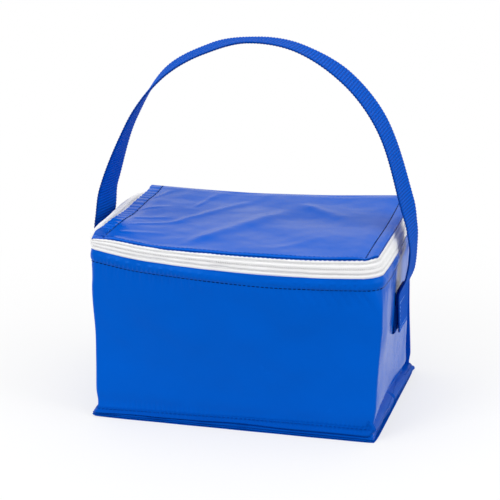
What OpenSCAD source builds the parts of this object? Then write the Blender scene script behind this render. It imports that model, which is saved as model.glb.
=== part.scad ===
// Small insulated cooler bag: a vinyl cover over foam panels and a foil liner, a lid that folds
// at the back edge, a zip round its other three sides and a webbing handle sewn to the sides.
// Origin at the middle of the base. +X is to the bag's right, +Y to its back, +Z up.

/* [Bag] */
// Width of the bag, side to side
bag_w = 205; // [180:1:300]
// Depth of the bag, front to back
bag_d = 140; // [110:1:200]
// Height of the closed bag, from the floor to the lid's top
bag_h = 136; // [115:1:220]
// Radius of the upright corners at the front
corner_r = 8; // [6:0.5:14]

/* [Layers] */
// Thickness of the vinyl cover
cover_t = 0.6; // [0.4:0.05:1]
// Thickness of the foam panels
foam_t = 2.2; // [1.5:0.1:5]
// Thickness of the foil liner
liner_t = 0.3; // [0.2:0.05:0.5]
// Free space between one layer and the next
layer_gap = 0.1; // [0.05:0.05:0.2]

/* [Seams] */
// Height of the doubled seam round the base
base_seam_h = 9; // [6:0.5:14]
// How far the base seam stands out from the walls
base_seam_out = 2.4; // [1.5:0.1:4]
// Height of the hem round the rim, below the zip
rim_hem_h = 9; // [6:0.5:14]
// Width of the hems down the two back corners
rear_hem_w = 10; // [6:0.5:16]
// Width of the hem turned under the lid's edges
lid_hem_w = 8; // [5:0.5:12]

/* [Zip] */
// Height of the white band that the closed zip shows
zip_band_h = 14.4; // [12:0.2:20]
// How far the lower tape reaches down behind the rim hem
zip_tuck = 7; // [4:0.5:10]
// Thickness of the zip tapes
tape_t = 0.5; // [0.3:0.05:0.8]
// Height of one row of the zip's coil
coil_h = 1.4; // [1:0.1:2]
// Thickness of the zip's coil, out from its tape
coil_t = 1.5; // [1:0.1:2]
// Height of the slit between the two rows of coil
coil_slit = 1.2; // [1:0.1:1.6]
// How far short of the back face the zip ends
zip_end_gap = 5; // [4:0.5:12]

/* [Slider] */
// Length of the slider's plates, along the zip
slider_l = 10; // [8:0.5:14]
// Height of the slider's plates
slider_h = 8.4; // [7:0.2:11]
// Thickness of the slider's plates
slider_t = 1.3; // [1:0.1:1.8]
// How far behind the bag's front the slider rests, on the left side
slider_back = 30; // [20:1:45]
// Diameter of the slider's bail, which the pull turns on
bail_d = 1.3; // [1:0.1:2]
// Length of the pull, from the bail to its end
pull_l = 18; // [12:0.5:24]
// Width of the pull
pull_w = 5; // [4:0.5:7]
// Thickness of the pull
pull_t = 0.9; // [0.7:0.1:1.4]

/* [Handle] */
// Width of the webbing
web_w = 30; // [20:1:40]
// Thickness of the webbing
web_t = 1.6; // [1:0.1:2.4]
// Height of the handle's top above the lid
handle_top = 129.5; // [90:0.5:170]
// How far below the lid's top the handle turns at the sides
handle_drop = 59; // [45:0.5:75]
// How far behind the bag's middle the handle is sewn on
handle_back = 5; // [0:0.5:12]
// Height of the sewn patches that end the webbing
patch_h = 23; // [16:0.5:32]
// Diameter of the piece of webbing that flexes when the handle turns
flex_d = 28; // [20:0.5:30]
// Thickness of the piece of webbing that flexes
flex_t = 1.2; // [0.8:0.1:1.6]

/* [Hidden] */

$fn = 48;

// Colours, as the photograph shows them
vinyl_blue = [0.03, 0.35, 0.80];
webbing_blue = [0.02, 0.33, 0.78];
zip_white = [0.92, 0.92, 0.94];
foam_white = [0.97, 0.97, 0.95];
foil_silver = [0.80, 0.81, 0.83];

half_w = bag_w / 2;
half_d = bag_d / 2;

// Depths in from the outer face of the walls
foam_in = cover_t + layer_gap;
liner_in = foam_in + foam_t + layer_gap;
tape_in = cover_t + layer_gap;
inside_in = liner_in + liner_t;

// Heights of the layers of the lid and of the zip
lid_z = bag_h - cover_t;
lid_hem_z = lid_z - layer_gap - cover_t;
zip_top = lid_hem_z - layer_gap;
rim_z = lid_z - zip_band_h;
slit_z = (zip_top + rim_z) / 2;
tape_low = rim_z - zip_tuck;
tape_low_top = slit_z - coil_slit / 2;
tape_high_low = slit_z + coil_slit / 2;
coil_low = tape_low_top - coil_h;
coil_top = tape_high_low + coil_h;
zip_end = half_d - zip_end_gap;
slider_y = slider_back - half_d;

// The walls' foam stops under the tape's tuck, and the back's reaches the lid's fold
foam_top = tape_low - 2 * layer_gap;
fold_gap = 0.5;
fold_room = 1.5;
liner_drop = 2;
back_top = lid_z - fold_gap;
foam_back_top = back_top - foam_t - fold_room;
liner_top = rim_z - liner_drop;
floor_z = cover_t + layer_gap;
liner_floor_z = floor_z + foam_t + layer_gap;

// Small hardware of the zip
stop_l = 2.4;
stop_grip = 0.4;
tab_l = 9;
tab_t = 0.6;
tab_margin = 1;
eye_wall = 0.8;
eye_l = 3.4;
running_gap = 0.3;
web_gap = 0.3;
bail_post = 1;

// Distances of the slider's plates and bail out from the middle of the bag
coil_in = tape_in - coil_t;
plate_out_x = half_w - coil_in + running_gap;
plate_in_x = half_w - tape_in - tape_t - running_gap;
eye_d = bail_d + 2 * (eye_wall + running_gap / 2);
bail_x = plate_out_x + slider_t + running_gap + eye_d / 2;

// Layers at the handle's feet, out from the walls
seat_gap = 0.2;
patch_t = 2 * web_t;
flex_x = half_w + seat_gap + patch_t + seat_gap;
foot_x = flex_x + flex_t + seat_gap + web_t / 2;
anchor_z = bag_h - handle_drop;
handle_rise = handle_drop + handle_top;
patch_rise = 3;
patch_top = anchor_z + patch_rise;

// The handle's route, chosen by hand from the left foot to the right one: place to the side as
// a share of the feet's, place behind them as a share of the webbing's width, height as a share
// of the rise, and twist in degrees
ROUTE = [
    [-1.000, 0.00, -0.090, 0], [-1.000, 0.00, 0.050, 0], [-1.050, 0.02, 0.125, -5],
    [-1.075, 0.03, 0.230, -12], [-1.055, 0.05, 0.400, -8], [-0.870, 0.07, 0.670, 2],
    [-0.640, 0.07, 0.855, 10], [-0.325, 0.07, 0.960, 5], [-0.010, 0.07, 1.000, -4],
    [0.300, 0.07, 0.975, -4], [0.620, 0.10, 0.865, 1], [0.855, 0.13, 0.685, 3],
    [1.030, 0.13, 0.390, 4], [1.050, 0.07, 0.220, 4], [1.030, 0.02, 0.125, 2],
    [1.000, 0.00, 0.050, 0], [1.000, 0.00, -0.090, 0]
];
STEPS = 5;

function knot(i) = [ROUTE[i][0] * foot_x, handle_back + ROUTE[i][1] * web_w,
                    anchor_z + ROUTE[i][2] * handle_rise];
function span(i) = norm(knot(i + 1) - knot(i));
// The direction at a knot, which is straight up at the two knots of each foot
function heading(i) =
    i < 2 ? [0, 0, 1] :
    i > len(ROUTE) - 3 ? [0, 0, -1] :
    (knot(i + 1) - knot(i - 1)) / (span(i) + span(i - 1));
function route_point(i, t) =
    (2 * pow(t, 3) - 3 * pow(t, 2) + 1) * knot(i)
    + (pow(t, 3) - 2 * pow(t, 2) + t) * span(i) * heading(i)
    + (3 * pow(t, 2) - 2 * pow(t, 3)) * knot(i + 1)
    + (pow(t, 3) - pow(t, 2)) * span(i) * heading(i + 1);
function route_slope(i, t) =
    (6 * pow(t, 2) - 6 * t) * (knot(i) - knot(i + 1))
    + (3 * pow(t, 2) - 4 * t + 1) * span(i) * heading(i)
    + (3 * pow(t, 2) - 2 * t) * span(i) * heading(i + 1);
function unit(v) = v / norm(v);

// The webbing's four corners at a place on the route, turned by the twist there
function web_ring(i, t) =
    let (
        place = route_point(i, t),
        along = unit(route_slope(i, t)),
        level = unit([0, 1, 0] - along[1] * along),
        normal = cross(along, level),
        twist = ROUTE[i][3] + t * (ROUTE[i + 1][3] - ROUTE[i][3]),
        across = cos(twist) * level + sin(twist) * normal,
        face = cross(along, across)
    )
    [for (c = [[-1, -1], [1, -1], [1, 1], [-1, 1]])
        place + c[0] * web_w / 2 * across + c[1] * web_t / 2 * face];

// Plan of the bag, square at the back and rounded at the front, drawn in by a distance
module plan(inset) {
    w = half_w - inset;
    d = half_d - inset;
    r = max(corner_r - inset, 0.5);
    translate([-w, r - d]) square([2 * w, 2 * d - r]);
    translate([r - w, -d]) square([2 * (w - r), 2 * r]);
    for (side = [-1, 1]) translate([side * (w - r), r - d]) circle(r);
}

// A band that follows the plan all the way round
module band(inset, thickness, low, high) {
    translate([0, 0, low]) linear_extrude(high - low) difference() {
        plan(inset);
        plan(inset + thickness);
    }
}

// A band round the front and the two sides only, up to a distance behind the middle
module three_sides(inset, thickness, low, high, end) {
    inner_w = half_w - inset - thickness;
    translate([0, 0, low]) linear_extrude(high - low) difference() {
        intersection() {
            plan(inset);
            translate([-bag_w, -bag_d]) square([2 * bag_w, bag_d + end]);
        }
        plan(inset + thickness);
        translate([-inner_w, 0]) square([2 * inner_w, bag_d]);
    }
}

module box(low, high) {
    translate(low) cube(high - low);
}

module shell_wrap() {
    color(vinyl_blue)
        three_sides(0, cover_t, floor_z, rim_z, half_d - cover_t - layer_gap);
}

module shell_back() {
    color(vinyl_blue) box([-half_w, half_d - cover_t, floor_z], [half_w, half_d, back_top]);
}

module shell_base() {
    color(vinyl_blue) linear_extrude(cover_t) plan(-base_seam_out);
}

module base_binding() {
    color(vinyl_blue)
        band(-base_seam_out, base_seam_out - layer_gap, floor_z, base_seam_h);
}

module rim_hem() {
    color(vinyl_blue)
        three_sides(-layer_gap - cover_t, cover_t, rim_z - rim_hem_h, rim_z, half_d);
}

module rear_hem() {
    color(vinyl_blue)
        box([half_w - rear_hem_w, half_d + layer_gap, base_seam_h + layer_gap],
            [half_w, half_d + layer_gap + cover_t, back_top - 2 * fold_gap]);
}

module rear_hem_left() mirror([1, 0, 0]) rear_hem();

module rear_hem_right() rear_hem();

module foam_front() {
    edge = half_w - max(corner_r, liner_in);
    color(foam_white)
        box([-edge, foam_in - half_d, floor_z], [edge, foam_in + foam_t - half_d, foam_top]);
}

module foam_side() {
    color(foam_white)
        box([half_w - foam_in - foam_t, max(corner_r, liner_in) - half_d, floor_z],
            [half_w - foam_in, half_d - liner_in, foam_top]);
}

module foam_left() mirror([1, 0, 0]) foam_side();

module foam_right() foam_side();

module foam_back() {
    color(foam_white)
        box([foam_in - half_w, half_d - foam_in - foam_t, floor_z],
            [half_w - foam_in, half_d - foam_in, foam_back_top]);
}

module foam_base() {
    color(foam_white) translate([0, 0, floor_z]) linear_extrude(foam_t) plan(liner_in);
}

module liner_walls() {
    color(foil_silver) {
        band(liner_in, liner_t, liner_floor_z + liner_t + layer_gap, liner_top);
        box([liner_in - half_w, half_d - liner_in - liner_t, liner_top],
            [half_w - liner_in, half_d - liner_in, foam_back_top]);
    }
}

module liner_base() {
    color(foil_silver)
        translate([0, 0, liner_floor_z]) linear_extrude(liner_t) plan(liner_in);
}

module zip_tape_lower() {
    color(zip_white) three_sides(tape_in, tape_t, tape_low, tape_low_top, zip_end);
}

module zip_tape_upper() {
    color(zip_white) three_sides(tape_in, tape_t, tape_high_low, zip_top, zip_end);
}

module zip_coil_lower() {
    color(zip_white)
        three_sides(coil_in, coil_t - layer_gap, coil_low, tape_low_top,
                    zip_end - stop_l - layer_gap);
}

module zip_coil_upper() {
    color(zip_white)
        three_sides(coil_in, coil_t - layer_gap, tape_high_low, coil_top,
                    zip_end - stop_l - layer_gap);
}

// A stop is clamped over the lower tape's edge, right behind the end of its coil
module zip_stop() {
    color(zip_white) difference() {
        box([half_w - tape_in - tape_t - stop_grip, zip_end - stop_l, coil_low],
            [half_w - coil_in, zip_end, tape_low_top + stop_grip]);
        box([half_w - tape_in - tape_t - layer_gap / 2, zip_end - 2 * stop_l, 0],
            [half_w - tape_in + layer_gap / 2, half_d, tape_low_top + layer_gap / 2]);
    }
}

module zip_stop_left() mirror([1, 0, 0]) zip_stop();

module zip_stop_right() zip_stop();

// A tab of tape covers the zip's end, sewn over the rim hem
module zip_tab() {
    face = half_w + 2 * layer_gap + cover_t;
    color(zip_white)
        box([face, zip_end - tab_l / 2, rim_z - rim_hem_h + tab_margin],
            [face + tab_t, half_d - tab_margin, slit_z - slider_h / 2 - running_gap]);
}

module zip_tab_left() mirror([1, 0, 0]) zip_tab();

module zip_tab_right() zip_tab();

module handle_patch() {
    color(webbing_blue)
        box([half_w + seat_gap, handle_back - web_w / 2, patch_top - patch_h],
            [half_w + seat_gap + patch_t, handle_back + web_w / 2, patch_top]);
}

module handle_patch_left() mirror([1, 0, 0]) handle_patch();

module handle_patch_right() handle_patch();

module lid_panel() {
    color(vinyl_blue) translate([0, 0, lid_z]) linear_extrude(cover_t) plan(0);
}

module lid_hem() {
    color(vinyl_blue)
        three_sides(0, lid_hem_w, lid_hem_z, lid_hem_z + cover_t, zip_end);
}

module foam_lid() {
    color(foam_white)
        box([lid_hem_w + layer_gap - half_w, lid_hem_w + layer_gap - half_d,
             lid_z - layer_gap - foam_t],
            [half_w - lid_hem_w - layer_gap, half_d - liner_in, lid_z - layer_gap]);
}

module liner_lid() {
    low = lid_z - 2 * layer_gap - foam_t - liner_t;
    color(foil_silver)
        box([inside_in - half_w, max(corner_r, inside_in) - half_d, low],
            [half_w - inside_in, half_d - inside_in, low + liner_t]);
}

// The slider on the left side, drawn at the middle of its own length
module slider_plate(near, length) {
    cut = slider_h / 4;
    translate([near, 0, slit_z]) rotate([0, 90, 0]) linear_extrude(slider_t)
        polygon([
            [-slider_h / 2, cut - length / 2], [cut - slider_h / 2, -length / 2],
            [slider_h / 2 - cut, -length / 2], [slider_h / 2, cut - length / 2],
            [slider_h / 2, length / 2], [-slider_h / 2, length / 2]
        ]);
}

module zip_slider() {
    web_h = coil_slit - 2 * web_gap;
    post_z = eye_l / 2 + running_gap;
    color(zip_white) translate([0, slider_y, 0]) mirror([1, 0, 0]) {
        slider_plate(plate_out_x, slider_l);
        slider_plate(plate_in_x - slider_t, slider_l);
        box([plate_in_x - slider_t, -slider_l / 6, slit_z - web_h / 2],
            [plate_out_x + slider_t, slider_l / 6, slit_z + web_h / 2]);
        for (side = [0, 1]) mirror([0, 0, side]) translate([0, 0, side ? -2 * slit_z : 0]) {
            box([plate_out_x, -bail_d / 2, slit_z + post_z],
                [bail_x, bail_d / 2, slit_z + post_z + bail_post]);
            translate([bail_x, 0, slit_z + post_z]) cylinder(bail_post, d = bail_d);
        }
        translate([bail_x, 0, slit_z - post_z]) cylinder(2 * post_z, d = bail_d);
    }
}

module zip_pull() {
    bore = bail_d + running_gap;
    neck_l = eye_d / 2 + 1.5;
    color(zip_white) translate([-bail_x, slider_y, slit_z]) difference() {
        union() {
            translate([0, 0, -eye_l / 2]) cylinder(eye_l, d = eye_d);
            box([-pull_t / 2, 0, -eye_l / 2], [pull_t / 2, neck_l + 1, eye_l / 2]);
            box([-pull_t / 2, neck_l, -pull_w / 2],
                [pull_t / 2, pull_l - pull_w / 2, pull_w / 2]);
            translate([-pull_t / 2, pull_l - pull_w / 2, 0]) rotate([0, 90, 0])
                cylinder(pull_t, d = pull_w);
        }
        translate([0, 0, -eye_l]) cylinder(2 * eye_l, d = bore);
        translate([-pull_t, pull_l - pull_w / 2, 0]) rotate([0, 90, 0])
            cylinder(2 * pull_t, d = pull_w / 2);
    }
}

// The bit of webbing that flexes as the handle turns, between the patch and the leg
module handle_flex() {
    color(webbing_blue)
        translate([flex_x, handle_back, anchor_z]) rotate([0, 90, 0])
            cylinder(flex_t, d = flex_d);
}

module handle_flex_left() mirror([1, 0, 0]) handle_flex();

module handle_flex_right() handle_flex();

module handle_webbing() {
    last = len(ROUTE) - 2;
    rings = concat([for (i = [0:last], s = [0:STEPS - 1]) web_ring(i, s / STEPS)],
                   [web_ring(last, 1)]);
    n = len(rings);
    color(webbing_blue) polyhedron(
        [for (ring = rings) each ring],
        concat(
            [for (k = [0:n - 2], c = [0:3], half = [0, 1])
                let (a = 4 * k + c, b = 4 * k + (c + 1) % 4)
                half == 0 ? [a, b, b + 4] : [a, b + 4, a + 4]],
            [[3, 2, 1], [3, 1, 0]],
            [for (c = [1, 2]) [4 * (n - 1), 4 * (n - 1) + c, 4 * (n - 1) + c + 1]]
        )
    );
}

shell_wrap();
shell_back();
shell_base();
base_binding();
rim_hem();
rear_hem_left();
rear_hem_right();
foam_front();
foam_left();
foam_right();
foam_back();
foam_base();
liner_walls();
liner_base();
zip_tape_lower();
zip_coil_lower();
zip_stop_left();
zip_stop_right();
zip_tab_left();
zip_tab_right();
handle_patch_left();
handle_patch_right();
lid_panel();
lid_hem();
foam_lid();
liner_lid();
zip_tape_upper();
zip_coil_upper();
zip_slider();
zip_pull();
handle_flex_left();
handle_flex_right();
handle_webbing();
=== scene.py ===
"""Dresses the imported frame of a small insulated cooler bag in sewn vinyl, zip, webbing and linings.

The cut pieces are worked out square, in millimetres, and `Form.settle` then moves every point to
where the sewn, standing bag holds it, so that cover, foam, liner and zip keep their order.
"""

import logging
import math
from collections.abc import Sequence
from dataclasses import dataclass, field
from enum import Enum

import bmesh
import bpy
import numpy as np
from bpy.types import Material, Node, NodeSocket, NodeTree, Object
from mathutils import Matrix, Vector
from mathutils.bvhtree import BVHTree


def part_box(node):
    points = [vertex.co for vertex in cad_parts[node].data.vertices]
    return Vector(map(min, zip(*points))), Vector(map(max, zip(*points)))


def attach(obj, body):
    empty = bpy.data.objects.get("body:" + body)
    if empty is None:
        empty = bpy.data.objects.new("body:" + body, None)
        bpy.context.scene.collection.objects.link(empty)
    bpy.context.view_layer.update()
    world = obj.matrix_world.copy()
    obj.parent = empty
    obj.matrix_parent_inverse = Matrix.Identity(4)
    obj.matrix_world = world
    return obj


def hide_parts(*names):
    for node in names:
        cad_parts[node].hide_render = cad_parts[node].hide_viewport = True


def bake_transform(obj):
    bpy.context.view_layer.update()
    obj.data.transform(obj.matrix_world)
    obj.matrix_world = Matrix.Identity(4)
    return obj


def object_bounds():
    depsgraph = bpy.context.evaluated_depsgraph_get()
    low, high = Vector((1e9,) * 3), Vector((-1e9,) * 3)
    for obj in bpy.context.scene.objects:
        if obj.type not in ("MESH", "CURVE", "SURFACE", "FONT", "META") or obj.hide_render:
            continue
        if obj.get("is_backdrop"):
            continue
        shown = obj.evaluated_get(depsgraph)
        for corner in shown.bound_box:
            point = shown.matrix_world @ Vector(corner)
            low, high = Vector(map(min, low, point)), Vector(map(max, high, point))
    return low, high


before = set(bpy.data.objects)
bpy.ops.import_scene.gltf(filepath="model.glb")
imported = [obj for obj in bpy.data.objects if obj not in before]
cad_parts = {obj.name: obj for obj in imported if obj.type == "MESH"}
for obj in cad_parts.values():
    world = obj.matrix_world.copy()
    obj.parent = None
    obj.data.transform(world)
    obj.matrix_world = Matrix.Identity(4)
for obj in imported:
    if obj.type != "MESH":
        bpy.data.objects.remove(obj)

log = logging.getLogger("cooler_bag")
MM = 0.001
WHITE = (1.0, 1.0, 1.0, 1.0)
Array = np.ndarray


class Body(str, Enum):
    """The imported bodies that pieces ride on."""

    BAG = "bag"
    LID = "lid"
    TURN = "handle_turn"
    HANDLE = "handle"


class Slot(str, Enum):
    """The record's material slots."""

    VINYL = "vinyl_blue"
    WEBBING = "webbing_blue"
    ZIP = "zip_white"
    SLIDER = "slider_white"
    FOAM = "foam_white"
    FOIL = "foil_liner"


def unit(ways: Array) -> Array:
    """Directions of length 1, the last axis being x, y, z."""
    return ways / np.maximum(np.linalg.norm(ways, axis=-1, keepdims=True), 1e-9)


def spread(*parts: Array | float) -> Array:
    """Joins coordinates, each of them a number, a line or a grid, into places."""
    return np.stack(np.broadcast_arrays(*parts), axis=-1)


def side_name(side: int) -> str:
    """The word for a side: -1 is the left, 1 the right."""
    return "left" if side < 0 else "right"


def placed(name: str, data: bpy.types.ID) -> Object:
    """Makes an object at the origin and puts it in the scene.

    Args:
        name: The object's name.
        data: Its mesh, camera or lamp.

    Returns:
        The object.
    """
    thing = bpy.data.objects.new(name, data)
    bpy.context.scene.collection.objects.link(thing)
    return thing


def vertices(thing: Object) -> Array:
    """A mesh object's vertices in millimetres.

    Args:
        thing: The object.

    Returns:
        One vertex a row.
    """
    flat = np.zeros(3 * len(thing.data.vertices))
    thing.data.vertices.foreach_get("co", flat)
    return flat.reshape(-1, 3) / MM


# ---- view and image points


@dataclass(frozen=True)
class ImagePoint:
    """A place in the photograph's frame, in pixels. None leaves that direction out."""

    name: str
    x: float | None
    y: float | None


@dataclass
class Eye:
    """The camera, settled by the image points, and the rays through them."""

    lens: float = 129.6
    sensor: float = 36.0
    azimuth: float = 16.15
    elevation: float = 18.03
    roll: float = -1.1
    distance: float = 1316.13
    aim: tuple[float, float, float] = (-4.37, 0.0, 111.36)
    shift: tuple[float, float] = (0.0, 0.0)
    clip: tuple[float, float] = (0.05, 20.0)
    image: tuple[int, int] = (500, 500)
    search: tuple[float, float, int] = (0.8, 1.2, 81)
    left = ImagePoint("left", 91.0, None)
    right = ImagePoint("right", 417.1, None)
    top = ImagePoint("top", None, 37.6)
    bottom = ImagePoint("bottom", None, 442.3)
    lid_left = ImagePoint("lid_corner_left", 93.0, 236.0)
    lid_back = ImagePoint("lid_corner_back", 152.1, 184.7)
    lid_right = ImagePoint("lid_corner_right", 369.0, 258.3)
    base_left = ImagePoint("base_corner_left", 93.2, 413.8)
    base_right = ImagePoint("base_corner_right", 374.5, 442.0)
    base_rear = ImagePoint("base_corner_rear", 414.8, 367.0)
    slider = ImagePoint("zip_slider", 102.4, 235.8)
    hem_left = ImagePoint("hem_seam_left", 132.7, 269.6)
    hem_mid = ImagePoint("hem_seam_middle", 241.8, 286.5)
    hem_right = ImagePoint("hem_seam_right", 326.6, 290.9)
    lid_seam_left = ImagePoint("lid_seam_left", 135.0, 210.2)
    lid_seam_right = ImagePoint("lid_seam_right", 381.7, 231.0)
    zip_mid = ImagePoint("zip_coil_middle", 241.8, 265.0)
    strap_thin = ImagePoint("strap_edge_on", 146.6, 94.4)
    foot = ImagePoint("strap_foot", 400.0, 311.0)

    def axes(self) -> Array:
        """The camera's right, up and back directions.

        Returns:
            A 3 x 3 array with one direction a row.
        """
        turn, rise, tilt = (math.radians(v) for v in (self.azimuth, self.elevation, self.roll))
        back = np.array([math.sin(turn) * math.cos(rise), -math.cos(turn) * math.cos(rise),
                         math.sin(rise)])
        right = unit(np.cross(-back, [0.0, 0.0, 1.0]))
        up = np.cross(right, -back)
        return np.array([right * math.cos(tilt) + up * math.sin(tilt),
                         up * math.cos(tilt) - right * math.sin(tilt), back])

    def place(self) -> Array:
        """Where the camera stands, in millimetres."""
        return np.array(self.aim) + self.axes()[2] * self.distance

    def build(self) -> Object:
        """Makes the camera and gives it to the scene.

        Returns:
            The camera object.
        """
        data = bpy.data.cameras.new("eye")
        data.lens, data.sensor_width, data.sensor_fit = self.lens, self.sensor, "AUTO"
        data.shift_x, data.shift_y = self.shift
        data.clip_start, data.clip_end = self.clip
        camera = placed("eye", data)
        matrix = Matrix(self.axes().T.tolist()).to_4x4()
        matrix.translation = Vector(self.place() * MM)
        camera.matrix_world = matrix
        bpy.context.scene.camera = camera
        return camera

    def ray(self, x: float, y: float) -> Array:
        """The direction, in the frame, of the ray through an image point.

        Args:
            x: Its place across, in pixels.
            y: Its place down, in pixels.

        Returns:
            A direction one long.
        """
        width, height = self.image
        side = max(width, height)
        across = x - width / 2 + self.shift[0] * side
        down = height / 2 - y + self.shift[1] * side
        line = np.array([across, down, -side * self.lens / self.sensor]) @ self.axes()
        return unit(line)

    def onto(self, tree: BVHTree, point: ImagePoint) -> Array:
        """Where the ray through an image point meets a carrying surface.

        Args:
            tree: The surface, in metres.
            point: The image point.

        Returns:
            The place in millimetres. On a miss, it is the surface's nearest place to the ray.
        """
        start, line = self.place() * MM, self.ray(point.x, point.y)
        found = tree.ray_cast(Vector(start), Vector(line))[0]
        if found is None:
            steps = np.linspace(*self.search) * self.distance * MM
            near = [tree.find_nearest(Vector(start + line * step)) for step in steps]
            found = min(near, key=lambda hit: hit[3])[0]
        return np.array(found) / MM

    def project(self, places: Array) -> Array:
        """Turns places into pixels.

        Args:
            places: One place a row, in millimetres.

        Returns:
            One x, y a row.
        """
        seen = (np.atleast_2d(places) - self.place()) @ self.axes().T
        width, height = self.image
        side = max(width, height)
        scale = side * self.lens / self.sensor / -seen[:, 2]
        return np.stack([width / 2 - self.shift[0] * side + seen[:, 0] * scale,
                         height / 2 + self.shift[1] * side - seen[:, 1] * scale], axis=1)


# ---- finishes


def named(tree: NodeTree, kind: str, **settings: object) -> Node:
    """Adds a node and sets its properties.

    Args:
        tree: The node tree.
        kind: The node's type name.
        **settings: Properties of the node, by name.

    Returns:
        The new node.
    """
    node = tree.nodes.new(kind)
    for name, value in settings.items():
        setattr(node, name, value)
    return node


def feed(node: Node, given: dict[str | int, object]) -> None:
    """Sets a node's inputs to plain values, or links them to sockets.

    Args:
        node: The node.
        given: The values and sockets, by the inputs' names or numbers.
    """
    for key, value in given.items():
        if isinstance(value, NodeSocket):
            node.id_data.links.new(value, node.inputs[key])
        else:
            node.inputs[key].default_value = value


def fed(tree: NodeTree, kind: str, given: dict[str | int, object], out: str | int = 0,
        **settings: object) -> NodeSocket:
    """Adds a node with its inputs set or linked.

    Args:
        tree: The node tree.
        kind: The node's type name.
        given: The values and sockets for its inputs.
        out: The output that is wanted.
        **settings: Properties of the node, by name.

    Returns:
        That output.
    """
    node = named(tree, kind, **settings)
    feed(node, given)
    return node.outputs[out]


def maths(tree: NodeTree, operation: str, *values: object) -> NodeSocket:
    """A Math node's output. The values are sockets or numbers."""
    return fed(tree, "ShaderNodeMath", dict(enumerate(values)), operation=operation)


def here(tree: NodeTree) -> NodeSocket:
    """The Object coordinates of the place that is shaded."""
    return named(tree, "ShaderNodeTexCoord").outputs["Object"]


def group(name: str, inputs: dict[str, object], outputs: dict[str, str],
          kind: str = "ShaderNodeTree") -> tuple[NodeTree, dict[str, NodeSocket], Node]:
    """Starts a node group.

    Args:
        name: The group's name.
        inputs: By name, an input's default value, or its kind where it starts with nothing.
        outputs: By name, an output's kind.
        kind: The tree's own kind.

    Returns:
        The tree, its input sockets by name, and the node that takes what it puts out.
    """
    tree = bpy.data.node_groups.new(name, kind)
    for label, value in inputs.items():
        sort = value if isinstance(value, str) else "Color" if isinstance(value, tuple) else "Float"
        socket = tree.interface.new_socket(label, in_out="INPUT", socket_type="NodeSocket" + sort)
        if sort != value:
            socket.default_value = value
    for label, sort in outputs.items():
        tree.interface.new_socket(label, in_out="OUTPUT", socket_type="NodeSocket" + sort)
    entry, leave = named(tree, "NodeGroupInput"), named(tree, "NodeGroupOutput")
    return tree, {socket.name: socket for socket in entry.outputs if socket.name}, leave


class Effects:
    """The shader effects that several finishes share, each built once."""

    def __init__(self) -> None:
        """Builds the groups."""
        self.grain = self._grain()
        self.shade = self._shade()
        self.weave = self._weave()

    def _grain(self) -> NodeTree:
        """A fine uneven skin on Object coordinates, out as a height from 0 to 1.

        Returns:
            The tree.
        """
        tree, given, out = group("skin_grain", {"Grain per metre": 900.0, "Cells per metre": 600.0,
                                                "Cell share": 0.3}, {"Height": "Float"})
        place = here(tree)
        fine = fed(tree, "ShaderNodeTexNoise", {"Vector": place, "Scale": given["Grain per metre"],
                                                "Detail": 3.0})
        cells = fed(tree, "ShaderNodeTexVoronoi",
                    {"Vector": place, "Scale": given["Cells per metre"]}, feature="SMOOTH_F1")
        part = maths(tree, "MULTIPLY", cells, given["Cell share"])
        feed(out, {"Height": maths(tree, "ADD", fine, part)})
        return tree

    def _shade(self) -> NodeTree:
        """Soft unevenness of a colour, as in any dyed sheet, and a mask of it.

        Returns:
            The tree.
        """
        tree, given, out = group(
            "uneven_colour", {"Colour": (0.5, 0.5, 0.5, 1.0), "Patches per metre": 18.0, "Depth": 0.1},
            {"Colour": "Color", "Mask": "Float"})
        soft = fed(tree, "ShaderNodeTexNoise", {"Vector": here(tree), "Roughness": 0.6,
                                                "Scale": given["Patches per metre"], "Detail": 4.0})
        swing = maths(tree, "MULTIPLY", maths(tree, "SUBTRACT", soft, 0.5), given["Depth"])
        tone = fed(tree, "ShaderNodeHueSaturation",
                   {"Color": given["Colour"], "Value": maths(tree, "ADD", swing, 1.0)})
        feed(out, {"Colour": tone, "Mask": soft})
        return tree

    def _weave(self) -> NodeTree:
        """Woven threads on the piece's own UV map, in metres, out as a height.

        Returns:
            The tree.
        """
        tree, given, out = group("woven_threads", {"Thread": 0.0005}, {"Height": "Float"})
        parts = named(tree, "ShaderNodeSeparateXYZ")
        feed(parts, {0: fed(tree, "ShaderNodeUVMap", {}, uv_map="cut")})
        waves = []
        for way in ("X", "Y"):
            count = maths(tree, "DIVIDE", parts.outputs[way], given["Thread"])
            turn = maths(tree, "MULTIPLY", count, math.pi)
            waves.append(maths(tree, "ABSOLUTE", maths(tree, "SINE", turn)))
        feed(out, {"Height": maths(tree, "MULTIPLY", *waves)})
        return tree


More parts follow.
